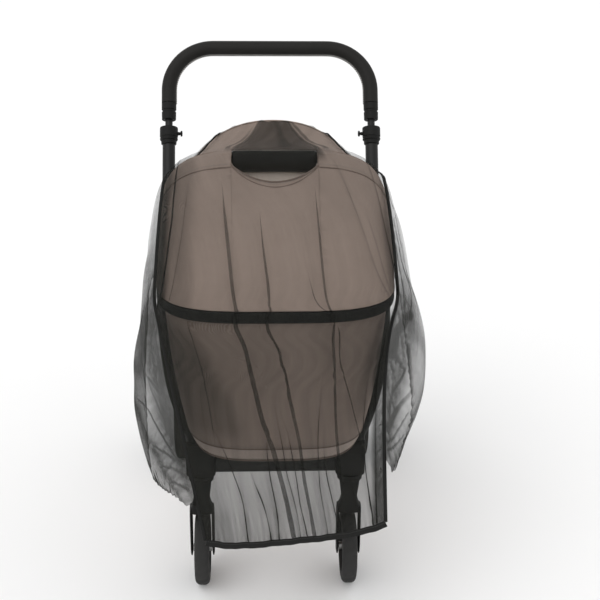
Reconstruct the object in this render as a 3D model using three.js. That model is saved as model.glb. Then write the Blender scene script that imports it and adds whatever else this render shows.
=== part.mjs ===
// Mosquito net drawn over a pram carrycot, on its plain frame.
// Millimetres, +Z up, X across the pram, front (head end of the cot) at -Y, push bar at +Y.
// The net is one elasticated bag: a centre strip from the front hem over the hood to the foot
// end, and a side panel sewn to each edge of the strip. All the rest is what it hangs over.
import * as THREE from 'three';

// Cot and rim
const COT_HALF_WIDTH = 222;
const RIM_TOP = 646;
const RIM_BAND_HEIGHT = 22;
const RIM_BAND_THICKNESS = 5.6;
const NOSE = { start: -180, reach: 233, power: 3.65 };
const FOOT = { start: 120, reach: 280, power: 2.6 };
const TUB_WALL = 9;
const TUB_FLOOR = 14;
const SEAT_GAP = 0.3;

// Hood
const HOOD_THICKNESS = 2.5;
const HOOD_CROWN = 1.6;
const BOW = { y: -95, halfWidth: 226, height: 208.5, power: 3, strip: 24, gap: 1.1, thickness: 6 };
const DOME = { y: 85, halfWidth: 202, height: 227, power: 2.1, sag: 0.07 };
const GRIP = { halfLength: 82, diameter: 42, z: 836 };
const HAND_HOLE = { halfWidth: 86, dip: 0.3, side: 0.09, behind: 34 };

// Net
const NET_THICKNESS = 1.6;
const NET_CLEARANCE = 6;
const BINDING_RADIUS = 2.8;
const SEWN_GAP = 0.6;
const RIM_SEAM_ANGLE = 20;
const SEAM_ANGLE = 31;
const CREST_SEAM_ANGLE = 62;
const HEM_BAND = { height: 13, thickness: 4 };
const RIGHT_FLARE = 5;
const FRONT_HEM = { y: -500, left: -129, right: 192, z: 236, tilt: 17, lift: 16 };
const REAR_HEM = { halfWidth: 112, z: 585, reach: 6 };
const FRONT_ROWS = 9;
const HOOD_ROWS = 8;
const SADDLE_ROWS = 4;
const SADDLE_LIFT = 4;
const REAR_ROWS = 6;
const SIDE_STEPS = 10;

// Frame
const TUBE_X = 234;
const HUB = { z: 490, radius: 30, width: 27 };
const PUSH_SLOPE = THREE.MathUtils.degToRad(61.3);
const PUSH_FOOT = { y: 297, z: 640 };
const PUSH_BAR = { radius: 17, bend: 102, topZ: 965 };
const PUSH_STOPS = { tubeTop: 139, sleeveTop: 180, neckTop: 197, collarTop: 238 };
const RADIUS = { lowerTube: 14.5, sleeve: 21, neck: 8.5, collar: 17, arm: 11, forkCollar: 25, axle: 8 };
const MOUNT = { inner: 204.6, outer: 215.6, length: 50, top: 566, height: 30 };
const FORK = { x: 147, y: -250, blockWidth: 58, blockDepth: 44, blockBottom: 245, blockTop: 315 };
const FRONT_WHEEL = { radius: 75, width: 30 };
const REAR_WHEEL = { radius: 115, width: 32, x: 215, y: 300 };
const WHEEL_SIDES = 24;
const TYRE = { depth: 22, shoulder: 7, crown: 0.55, foot: 0.7, disc: 0.6, bore: 8.5 };
const CROSSBAR = { halfDepth: 13, bottom: 250, top: 284 };

const COLOURS = {
  net: { color: 0x1d1e1c, roughness: 0.85, metalness: 0 },
  tape: { color: 0x121211, roughness: 0.8, metalness: 0 },
  cloth: { color: 0x8a7c70, roughness: 0.9, metalness: 0 },
  band: { color: 0x171715, roughness: 0.7, metalness: 0 },
  leather: { color: 0x2b2927, roughness: 0.5, metalness: 0 },
  metal: { color: 0x1c1c1b, roughness: 0.45, metalness: 0.4 },
  plastic: { color: 0x181817, roughness: 0.6, metalness: 0 },
  rubber: { color: 0x222221, roughness: 0.9, metalness: 0 },
};

const part = new THREE.Group();

function add(name, geometry, finish) {
  const mesh = new THREE.Mesh(geometry, new THREE.MeshStandardMaterial(COLOURS[finish]));
  mesh.name = name;
  part.add(mesh);
  return mesh;
}

const vec = (x, y, z) => new THREE.Vector3(x, y, z);
const mix = (a, b, t) => a + (b - a) * t;
const rad = THREE.MathUtils.degToRad;
const steps = (count) => Array.from({ length: count + 1 }, (_, i) => i / count);

// Superellipse over half a turn: across runs -1 to 1, rise runs 0 to 1 and back to 0.
function across(angle, power) {
  const c = Math.cos(angle);
  return -Math.sign(c) * Math.abs(c) ** (2 / power);
}

function rise(angle, power) {
  return Math.abs(Math.sin(angle)) ** (2 / power);
}

// Closed body from triangles, turned so that its faces point out.
function bodyFrom(points, triangles) {
  let volume = 0;
  for (const [a, b, c] of triangles) {
    volume += points[a].dot(points[b].clone().cross(points[c]));
  }
  const index = triangles.flatMap(([a, b, c]) => (volume < 0 ? [a, c, b] : [a, b, c]));
  const geometry = new THREE.BufferGeometry();
  geometry.setAttribute('position', new THREE.Float32BufferAttribute(
    points.flatMap((p) => [p.x, p.y, p.z]), 3));
  geometry.setIndex(index);
  geometry.computeVertexNormals();
  return geometry;
}

// Sheet of even thickness under a grid of rows of points, closed along its four edges.
function sheet(rows, thickness) {
  const last = rows.length - 1;
  const end = rows[0].length - 1;
  const at = (i, j) => rows[Math.min(Math.max(i, 0), last)][Math.min(Math.max(j, 0), end)];
  const points = [];
  for (const side of [0, 1]) {
    rows.forEach((row, i) => row.forEach((point, j) => {
      const along = at(i + 1, j).clone().sub(at(i - 1, j));
      const sideways = at(i, j + 1).clone().sub(at(i, j - 1));
      const normal = along.cross(sideways).normalize();
      points.push(point.clone().addScaledVector(normal, side * thickness));
    }));
  }
  const width = end + 1;
  const under = points.length / 2;
  const id = (i, j) => i * width + j;
  const triangles = [];
  const quad = (a, b, c, d) => triangles.push([a, b, c], [a, c, d]);
  for (let i = 0; i < last; i += 1) {
    for (let j = 0; j < end; j += 1) {
      quad(id(i, j), id(i + 1, j), id(i + 1, j + 1), id(i, j + 1));
      quad(under + id(i, j), under + id(i, j + 1), under + id(i + 1, j + 1), under + id(i + 1, j));
    }
    quad(id(i, 0), under + id(i, 0), under + id(i + 1, 0), id(i + 1, 0));
    quad(id(i, end), id(i + 1, end), under + id(i + 1, end), under + id(i, end));
  }
  for (let j = 0; j < end; j += 1) {
    quad(id(0, j), id(0, j + 1), under + id(0, j + 1), under + id(0, j));
    quad(id(last, j), under + id(last, j), under + id(last, j + 1), id(last, j + 1));
  }
  return bodyFrom(points, triangles);
}

// Round ring of points about a centre, in the plane of two directions.
const ring = (centre, across, up, radius, sides) => steps(sides).slice(0, -1).map((f) => centre.clone()
  .addScaledVector(across, radius * Math.cos(2 * Math.PI * f))
  .addScaledVector(up, radius * Math.sin(2 * Math.PI * f)));

// Body lofted through closed rings of equal count. It is capped at both ends, or joined end to end.
function loft(rings, joined = false) {
  const count = rings[0].length;
  const points = rings.flat();
  const triangles = [];
  const spans = joined ? rings.length : rings.length - 1;
  for (let i = 0; i < spans; i += 1) {
    const next = (i + 1) % rings.length;
    for (let j = 0; j < count; j += 1) {
      const k = (j + 1) % count;
      const [a, b, c, d] = [i * count + j, next * count + j, next * count + k, i * count + k];
      triangles.push([a, b, c], [a, c, d]);
    }
  }
  if (!joined) {
    for (const [ring, flip] of [[0, true], [rings.length - 1, false]]) {
      const centre = points.length;
      const sum = rings[ring].reduce((total, p) => total.add(p), vec(0, 0, 0));
      points.push(sum.divideScalar(count));
      for (let j = 0; j < count; j += 1) {
        const a = ring * count + j;
        const b = ring * count + ((j + 1) % count);
        triangles.push(flip ? [centre, a, b] : [centre, b, a]);
      }
    }
  }
  return bodyFrom(points, triangles);
}

// Tube of round section along a path, with flat ends.
function tube(path, radius, sides, count) {
  const section = new THREE.Shape();
  steps(sides).slice(0, -1).forEach((f, i) => {
    const x = radius * Math.cos(2 * Math.PI * f);
    const y = radius * Math.sin(2 * Math.PI * f);
    if (i === 0) section.moveTo(x, y);
    else section.lineTo(x, y);
  });
  return new THREE.ExtrudeGeometry(section, { extrudePath: path, steps: count, bevelEnabled: false });
}

function rod(from, to, radius, sides = 12) {
  return tube(new THREE.LineCurve3(from, to), radius, sides, 1);
}

function box(x0, x1, y0, y1, z0, z1) {
  const geometry = new THREE.BoxGeometry(x1 - x0, y1 - y0, z1 - z0);
  geometry.translate((x0 + x1) / 2, (y0 + y1) / 2, (z0 + z1) / 2);
  return geometry;
}

// Plan of the cot, anticlockwise from the left side round the nose, grown outwards by a margin.
const PLAN_ARC = 18;
function cotPlan(z, grow, nose = NOSE.reach, foot = FOOT.reach) {
  const half = COT_HALF_WIDTH + grow;
  const front = steps(PLAN_ARC).map((f) => vec(
    half * across(Math.PI * f, NOSE.power),
    NOSE.start - (nose + grow) * rise(Math.PI * f, NOSE.power), z));
  const rear = steps(PLAN_ARC).map((f) => vec(
    -half * across(Math.PI * f, FOOT.power),
    FOOT.start + (foot + grow) * rise(Math.PI * f, FOOT.power), z));
  return [...front, ...rear];
}

// Tub: outer wall from the base up, over the rim and down inside to the floor.
const TUB_LEVELS = [
  { z: 330, inset: 100, nose: -50 },
  { z: 336, inset: 76, nose: -27 },
  { z: 350, inset: 58, nose: -14 },
  { z: 378, inset: 48, nose: -7 },
  { z: 430, inset: 36, nose: -4 },
  { z: 520, inset: 22, nose: 0 },
  { z: 628, inset: 12, nose: 0 },
];
const tubRing = (z, inset, nose) => cotPlan(z, -inset, NOSE.reach + nose + inset - 6,
  FOOT.reach + nose);
const tubOuter = TUB_LEVELS.map((row) => tubRing(row.z, row.inset, row.nose));
const rimInset = RIM_BAND_THICKNESS + SEAT_GAP;
const tubRings = [
  ...tubOuter,
  cotPlan(RIM_TOP - RIM_BAND_HEIGHT, -rimInset),
  cotPlan(RIM_TOP, -rimInset),
  cotPlan(RIM_TOP, -rimInset - TUB_WALL),
  tubRing(520, 22 + TUB_WALL, -TUB_WALL),
  tubRing(400, 42 + TUB_WALL, -6 - TUB_WALL),
  tubRing(330 + TUB_FLOOR, 80 + TUB_WALL, -20 - TUB_WALL),
];
add('cot_tub', loft(tubRings), 'cloth');

const bandPlans = [[RIM_TOP - RIM_BAND_HEIGHT, -RIM_BAND_THICKNESS], [RIM_TOP - RIM_BAND_HEIGHT, 0],
  [RIM_TOP, 0], [RIM_TOP, -RIM_BAND_THICKNESS]].map(([z, grow]) => cotPlan(z, grow));
const bandSections = bandPlans[0].map((_, i) => bandPlans.map((plan) => plan[i]));
add('rim_band', loft(bandSections, true), 'band');

// Hood front: it leans back from the nose of the rim (lean 0) to the carry bow (lean 1).
const HOOD_FOOT = RIM_TOP + SEAT_GAP + 1.6;
function hoodFront(angle, lean, grow) {
  const turn = lean * Math.PI / 2;
  const near = Math.cos(turn) ** HOOD_CROWN;
  const high = Math.sin(turn) ** HOOD_CROWN;
  const bowY = BOW.y - BOW.strip / 2;
  const noseX = (COT_HALF_WIDTH + grow) * across(angle, NOSE.power);
  const noseY = NOSE.start - (NOSE.reach + grow) * rise(angle, NOSE.power);
  const bowX = (BOW.halfWidth + grow) * across(angle, BOW.power);
  const bowZ = (BOW.height + grow) * rise(angle, BOW.power);
  return vec(mix(noseX, bowX, high), bowY + (noseY - bowY) * near, HOOD_FOOT + bowZ * high);
}

// Hood rear: from the carry bow (run 0) back to the crest of the dome (run 1).
function hoodRear(angle, run, grow) {
  const x = mix((BOW.halfWidth + grow) * across(angle, BOW.power),
    (DOME.halfWidth + grow) * across(angle, DOME.power), run);
  const z = mix((BOW.height + grow) * rise(angle, BOW.power),
    (DOME.height + grow) * rise(angle, DOME.power), run);
  const slack = 1 - DOME.sag * Math.sin(Math.PI * run);
  return vec(x * slack, mix(BOW.y + BOW.strip / 2, DOME.y, run), HOOD_FOOT + z * slack);
}

// Angle at which the bow's arch stands at a distance from the middle.
function bowAngle(x) {
  const share = Math.abs(x) / BOW.halfWidth;
  const angle = Math.acos(Math.min(1, share ** (BOW.power / 2)));
  return x < 0 ? angle : Math.PI - angle;
}

const HOLE_COLUMNS = 8;
const SIDE_COLUMNS = 8;
const LOWEST_ANGLE = rad(2.5);
const holeAngle = bowAngle(-HAND_HOLE.halfWidth);
const sideAngles = steps(SIDE_COLUMNS).map((f) => mix(LOWEST_ANGLE, holeAngle, f ** 0.85));
const holeAngles = steps(HOLE_COLUMNS + 2).slice(1, -1)
  .map((f) => bowAngle(mix(-HAND_HOLE.halfWidth + 3, HAND_HOLE.halfWidth - 3, f)));
const hoodAngles = [...sideAngles, ...holeAngles, ...sideAngles.map((a) => Math.PI - a).reverse()];

// Share of the hand hole at a place across the hood: 0 outside it, 1 in the middle.
function holeShare(angle) {
  const x = BOW.halfWidth * across(angle, BOW.power) / HAND_HOLE.halfWidth;
  return Math.max(0, 1 - x * x);
}

const inHole = (angle) => (holeShare(angle) > 0.001 ? 1 : 0);
const frontTop = (angle) => 1 - inHole(angle) * (HAND_HOLE.side + (HAND_HOLE.dip - HAND_HOLE.side)
  * holeShare(angle) ** 0.7);
add('hood_front', sheet(steps(HOOD_ROWS).map((f) => hoodAngles.map(
  (a) => hoodFront(a, f * frontTop(a), 0))), HOOD_THICKNESS), 'cloth');

const rearStart = (angle) => (HAND_HOLE.behind / (DOME.y - BOW.y)) * inHole(angle) + 0.003;
add('hood_rear', sheet(steps(5).map((f) => hoodAngles.map(
  (a) => hoodRear(a, mix(rearStart(a), 1, f), 0))), HOOD_THICKNESS), 'cloth');

// Carry bow in its cloth sleeve, a flat strip each side of the grip.
function bowStrip(angles) {
  const low = BOW.y - BOW.strip / 2 + BOW.gap;
  const high = BOW.y + BOW.strip / 2 - BOW.gap;
  return loft(angles.map((a) => {
    const edge = (grow, y) => vec((BOW.halfWidth + grow) * across(a, BOW.power), y,
      HOOD_FOOT + (BOW.height + grow) * rise(a, BOW.power));
    return [edge(0, low), edge(0, high), edge(-BOW.thickness, high), edge(-BOW.thickness, low)];
  }));
}
const stripEnd = bowAngle(-GRIP.halfLength - 3.2);
const stripAngles = steps(9).map((f) => mix(LOWEST_ANGLE, stripEnd, f ** 0.85));
add('hood_bow_left', bowStrip(stripAngles), 'cloth');
add('hood_bow_right', bowStrip(stripAngles.map((a) => Math.PI - a)), 'cloth');

const GRIP_RINGS = [
  { place: -1, grow: -4 },
  { place: -0.95, grow: 0 },
  { place: 0, grow: 0.5 },
  { place: 0.95, grow: 0 },
  { place: 1, grow: -4 },
];
add('grip', loft(GRIP_RINGS.map(({ place, grow }) => ring(
  vec(place * GRIP.halfLength, BOW.y, GRIP.z), vec(0, 1, 0), vec(0, 0, 1),
  GRIP.diameter / 2 + grow, 14))), 'leather');

// Net centre strip. Every row runs from the left seam to the right seam.
const hemZ = (u) => FRONT_HEM.z + FRONT_HEM.tilt * u + FRONT_HEM.lift * u ** 4;
const hemPoint = (u) => vec(mix(FRONT_HEM.left, FRONT_HEM.right, (u + 1) / 2), FRONT_HEM.y, hemZ(u));
const seamAngle = (u, from) => rad(mix(from, 180 - from, (u + 1) / 2));

// Part of the strip that hangs from the nose of the rim to the held hem. It stays upright in
// front of the rim band and then runs straight to the hem.
const RIM_CLIMB = 0.94;
function frontDrop(u, climb) {
  const hem = hemPoint(u);
  const rim = hoodFront(seamAngle(u, RIM_SEAM_ANGLE), 0, NET_CLEARANCE);
  const flare = mix(1, RIGHT_FLARE, (u + 1) / 2);
  const share = Math.min(1, climb / RIM_CLIMB);
  return vec(mix(hem.x, rim.x, share ** flare), mix(hem.y, rim.y, share), mix(hem.z, rim.z, climb));
}

// Part that spans from the bow over the grip to the crest, where the seams draw together.
function saddle(u, run) {
  const angle = seamAngle(u, mix(SEAM_ANGLE, CREST_SEAM_ANGLE, run ** 1.3));
  return hoodRear(angle, run, NET_CLEARANCE + 1 + SADDLE_LIFT * Math.sin(Math.PI * run));
}

// Part that falls from the crest to the foot of the cot and a little below its rim.
const REAR_RIM_Z = RIM_TOP + NET_CLEARANCE + 2;
function footPoint(u, z) {
  const x = REAR_HEM.halfWidth * u * 1.05;
  const share = Math.abs(x) / (COT_HALF_WIDTH + REAR_HEM.reach);
  const y = FOOT.start + (FOOT.reach + REAR_HEM.reach) * (1 - share ** FOOT.power) ** (1 / FOOT.power);
  return vec(x, y, z);
}

const REAR_SLOPE_SHARE = 1 - 1 / REAR_ROWS;
function rearDrop(u, fall) {
  const crest = saddle(u, 1);
  const share = Math.min(1, fall / REAR_SLOPE_SHARE);
  const sag = 14 * Math.sin(Math.PI * share);
  const slope = crest.lerp(footPoint(u, REAR_RIM_Z), share).add(vec(0, 0, -sag));
  if (fall <= REAR_SLOPE_SHARE) return slope;
  const below = (fall - REAR_SLOPE_SHARE) / (1 - REAR_SLOPE_SHARE);
  return footPoint(u, mix(REAR_RIM_Z, REAR_HEM.z, below));
}

const STRIP_ROWS = [
  ...steps(FRONT_ROWS).map((f) => ({
    shape: frontDrop,
    place: 1 - (1 - f) ** 1.3,
    drift: mix(0.65, 1, f),
  })),
  ...steps(HOOD_ROWS).slice(1).map((f) => ({
    shape: (u, lean) => hoodFront(
      seamAngle(u, mix(RIM_SEAM_ANGLE, SEAM_ANGLE, lean)), lean, NET_CLEARANCE),
    place: f * 0.985,
    drift: mix(1, 1.24, f),
  })),
  ...steps(SADDLE_ROWS).map((f) => ({ shape: saddle, place: f, drift: 1.24 })),
  ...steps(REAR_ROWS).slice(1).map((f) => ({ shape: rearDrop, place: f, drift: 1.24 })),
];

// Folds of the strip: place across, height, and the rows between which each one runs.
const STRIP_FOLDS = [
  { at: 0.07, height: 5, from: 3, to: 17 },
  { at: 0.2, height: 4, from: 1, to: 6 },
  { at: 0.337, height: 7, from: 1, to: 16 },
  { at: 0.488, height: 7, from: 1, to: 16 },
  { at: 0.6, height: 4, from: 1, to: 7 },
  { at: 0.703, height: 6, from: 1, to: 16 },
  { at: 0.86, height: 5, from: 1, to: 17 },
  { at: 0.945, height: 3, from: 1, to: 16 },
];
const FOLD_HALF = 0.026;
const columnPlaces = [...new Set([0, 0.13, 0.27, 0.41, 0.545, 0.65, 0.78, 1,
  ...STRIP_FOLDS.flatMap(({ at }) => [at - FOLD_HALF, at, at + FOLD_HALF])])].sort((a, b) => a - b);

// Seam points and the tips of both kinds of panel share these rows, so sewn edges stay parallel.
const seamRows = STRIP_ROWS.map(({ shape, place }) => [shape(-1, place), shape(1, place)]);

// Direction in which the left (-1) or right (1) seam runs at a row.
function seamAlong(row, side) {
  const column = side < 0 ? 0 : 1;
  const ahead = seamRows[Math.min(row + 1, seamRows.length - 1)][column];
  return ahead.clone().sub(seamRows[Math.max(row - 1, 0)][column]).normalize();
}

function foldLift(place, row) {
  return STRIP_FOLDS.reduce((sum, fold) => {
    const inside = row >= fold.from && row <= fold.to && Math.abs(place - fold.at) < FOLD_HALF / 2;
    return sum + (inside ? fold.height : 0);
  }, 0);
}

function stripRow({ shape, place, drift }, row) {
  const [left, right] = seamRows[row];
  const probe = 0.02;
  const inset = (side, seam) => {
    const away = shape(side * (1 - probe), place).sub(seam).cross(seamAlong(row, side)).length();
    return 1 - probe * (BINDING_RADIUS + SEWN_GAP) / away;
  };
  const [first, last] = [-inset(-1, left), inset(1, right)];
  return columnPlaces.map((column) => {
    const point = shape(mix(first, last, column ** drift), place);
    const centre = vec(point.x, BOW.y, Math.min(point.z, HOOD_FOOT));
    const out = point.clone().sub(centre).normalize();
    return point.addScaledVector(out, foldLift(column, row));
  });
}
const stripRows = STRIP_ROWS.map(stripRow);
const hemLift = HEM_BAND.height * 0.9 + SEAT_GAP + 0.2;
stripRows[0].forEach((point, i) => point.lerp(stripRows[1][i], hemLift / (stripRows[1][i].z - point.z)));
add('net_centre', sheet(stripRows, -NET_THICKNESS), 'net');

// Seam bindings: round piping along the left and right edges of the strip.
function binding(side) {
  const line = seamRows.map((row) => row[side]);
  const rings = line.map((point, i) => {
    const next = line[Math.min(i + 1, line.length - 1)];
    const along = next.clone().sub(line[Math.max(i - 1, 0)]).normalize();
    const inward = vec(side ? -1 : 1, 0, 0);
    const up = along.clone().cross(inward).normalize();
    const flat = up.clone().cross(along).normalize();
    return ring(point, flat, up, BINDING_RADIUS, 6);
  });
  return loft(rings);
}
add('binding_left', binding(0), 'tape');
add('binding_right', binding(1), 'tape');

// Band along the front hem, between the two bindings.
const hemRings = steps(10).map((f) => {
  const u = mix(-1, 1, f) * 0.955;
  const top = hemPoint(u).add(vec(0, 0, HEM_BAND.height * 0.9));
  const [half, low] = [HEM_BAND.thickness / 2, -HEM_BAND.height];
  return [vec(0, -half, 0), vec(0, half, 0), vec(0, half, low), vec(0, -half, low)]
    .map((corner) => corner.add(top));
});
add('hem_band', loft(hemRings), 'tape');

// Side panels. Each row runs from the seam (the same rows as the strip) out round the cot and
// down to the elastic edge: a quadratic curve whose middle point pulls it outwards.
const LEFT_SECTIONS = [
  { row: 1, pull: [-154, -488, 308], edge: [-162, -483, 304] },
  { row: 2, pull: [-196, -458, 346], edge: [-184, -450, 306] },
  { row: 4, pull: [-268, -385, 440], edge: [-214, -375, 280] },
  { row: 6, pull: [-306, -325, 500], edge: [-238, -305, 264] },
  { row: 9, pull: [-290, -262, 560], edge: [-250, -238, 300] },
  { row: 13, pull: [-260, -190, 690], edge: [-257, -170, 430] },
  { row: 17, pull: [-246, -92, 770], edge: [-252, -75, 575] },
  { row: 20, pull: [-240, 0, 800], edge: [-238, 10, 592] },
  { row: 22, pull: [-238, 90, 800], edge: [-232, 100, 594] },
  { row: 25, pull: [-226, 225, 730], edge: [-220, 232, 594] },
  { row: 26.5, pull: [-204, 302, 690], edge: [-199, 303, 592] },
  { row: 28, pull: [-160, 385, 640], edge: [-148, 378, 588] },
];
const RIGHT_SECTIONS = [
  { row: 2, pull: [202, -470, 352], edge: [203, -468, 342] },
  { row: 3, pull: [226, -440, 396], edge: [215, -436, 352] },
  { row: 4, pull: [262, -400, 430], edge: [232, -385, 362] },
  { row: 6, pull: [318, -335, 500], edge: [256, -305, 372] },
  { row: 9, pull: [318, -262, 560], edge: [266, -238, 396] },
  { row: 13, pull: [275, -190, 690], edge: [262, -165, 470] },
  { row: 17, pull: [242, -92, 770], edge: [252, -75, 575] },
  { row: 20, pull: [240, 0, 800], edge: [238, 10, 592] },
  { row: 22, pull: [238, 90, 800], edge: [232, 100, 594] },
  { row: 25, pull: [226, 225, 730], edge: [220, 232, 594] },
  { row: 26.5, pull: [204, 302, 690], edge: [199, 303, 592] },
  { row: 28, pull: [160, 385, 640], edge: [148, 378, 588] },
];

function sectionAt(sections, row) {
  const upper = Math.max(1, sections.findIndex((s) => s.row >= row));
  const [a, b] = [sections[upper - 1], sections[upper]];
  const t = (row - a.row) / (b.row - a.row);
  const between = (key) => vec(...a[key].map((value, i) => mix(value, b[key][i], t)));
  return { pull: between('pull'), edge: between('edge') };
}

const GATHER_DEPTH = 5;
const LEVEL_ROW = 18;
function sidePanel(side, sections) {
  const first = Math.ceil(sections[0].row);
  const rows = [];
  for (let row = first; row < seamRows.length; row += 1) {
    const seam = seamRows[row][side];
    const { pull, edge } = sectionAt(sections, row);
    const gather = (row % 2 ? 1 : -1) * GATHER_DEPTH;
    const away = pull.clone().sub(seam).cross(seamAlong(row, side ? 1 : -1)).length();
    const start = (BINDING_RADIUS + SEWN_GAP) / (2 * away);
    rows.push(steps(SIDE_STEPS).map((f) => {
      const t = mix(start, 1, f);
      const point = seam.clone().multiplyScalar((1 - t) ** 2)
        .addScaledVector(pull, 2 * t * (1 - t)).addScaledVector(edge, t * t);
      const out = vec(side ? 1 : -1, -0.3, 0).normalize();
      return point.addScaledVector(out, gather * t ** 3 * (row < LEVEL_ROW ? 1 : 0.3));
    }));
  }
  return sheet(rows, side ? -NET_THICKNESS : NET_THICKNESS);
}
add('net_side_left', sidePanel(0, LEFT_SECTIONS), 'net');
add('net_side_right', sidePanel(1, RIGHT_SECTIONS), 'net');

// Push bar: one bent tube in a plane that leans back from the frame.
const onPush = (x, distance) => vec(x, PUSH_FOOT.y + distance * Math.cos(PUSH_SLOPE),
  PUSH_FOOT.z + distance * Math.sin(PUSH_SLOPE));

function pushBar() {
  const start = PUSH_STOPS.collarTop + SEAT_GAP;
  const bendStart = (PUSH_BAR.topZ - PUSH_FOOT.z) / Math.sin(PUSH_SLOPE) - PUSH_BAR.bend;
  const corner = TUBE_X - PUSH_BAR.bend;
  const bend = (side) => steps(5).map((f) => onPush(
    side * (corner + PUSH_BAR.bend * Math.cos(f * Math.PI / 2)),
    bendStart + PUSH_BAR.bend * Math.sin(f * Math.PI / 2)));
  const line = [onPush(-TUBE_X, start), ...bend(-1), ...bend(1).reverse(), onPush(TUBE_X, start)];
  const acrossBar = vec(0, -Math.sin(PUSH_SLOPE), Math.cos(PUSH_SLOPE));
  return loft(line.map((point, i) => {
    const next = line[Math.min(i + 1, line.length - 1)];
    const along = next.clone().sub(line[Math.max(i - 1, 0)]).normalize();
    const inPlane = along.clone().cross(acrossBar).normalize();
    return ring(point, acrossBar, inPlane, PUSH_BAR.radius, 12);
  }));
}
add('push_bar', pushBar(), 'leather');

function wheel(name, x, y, { radius, width }) {
  const side = Math.PI / WHEEL_SIDES;
  const height = radius * Math.cos(side);
  const spin = (outline) => {
    const points = outline.map(([r, w]) => new THREE.Vector2(r, w));
    const geometry = new THREE.LatheGeometry([...points, points[0]], WHEEL_SIDES, side);
    geometry.rotateZ(-Math.PI / 2);
    geometry.translate(x, y, height);
    return geometry;
  };
  const half = width / 2;
  const inner = radius - TYRE.depth;
  add(`${name}_tyre`, spin([[inner, -half * TYRE.foot], [radius - TYRE.shoulder, -half],
    [radius, -half * TYRE.crown], [radius, half * TYRE.crown], [radius - TYRE.shoulder, half],
    [inner, half * TYRE.foot]]), 'rubber');
  add(`${name}_disc`, spin([[TYRE.bore, -half * TYRE.disc], [inner - SEAT_GAP, -half * TYRE.disc],
    [inner - SEAT_GAP, half * TYRE.disc], [TYRE.bore, half * TYRE.disc]]), 'plastic');
  return height;
}

// Arm of the chassis from the hub forward under the cot's rim and down to the fork block.
const ARM_POINTS = [
  { x: 230, y: 70, z: 545 },
  { x: 227, y: 0, z: 551 },
  { x: 227, y: -60, z: 544 },
  { x: 222, y: -118, z: 500 },
  { x: 204, y: -185, z: 405 },
  { x: 176, y: -240, z: 345 },
  { x: 165, y: -249.5, z: 326 },
];
const REAR_LEG_POINTS = [
  { x: 226, y: 238, z: 380 },
  { x: 205, y: 262, z: 300 },
  { x: 184, y: 280, z: 240 },
  { x: 182, y: 298, z: 145 },
  { x: 182, y: REAR_WHEEL.y, z: 122.6 },
];
// Half outline of the fork from its stem down to the foot of a prong and up inside.
const FORK_OUTLINE = [
  { x: 20, z: 230.7 },
  { x: 15.5, z: 190 },
  { x: 25, z: 172 },
  { x: 25, z: 60 },
  { x: 18.8, z: 60 },
  { x: 18.8, z: 158 },
];
const FORK_DEPTH = 32;

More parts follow.
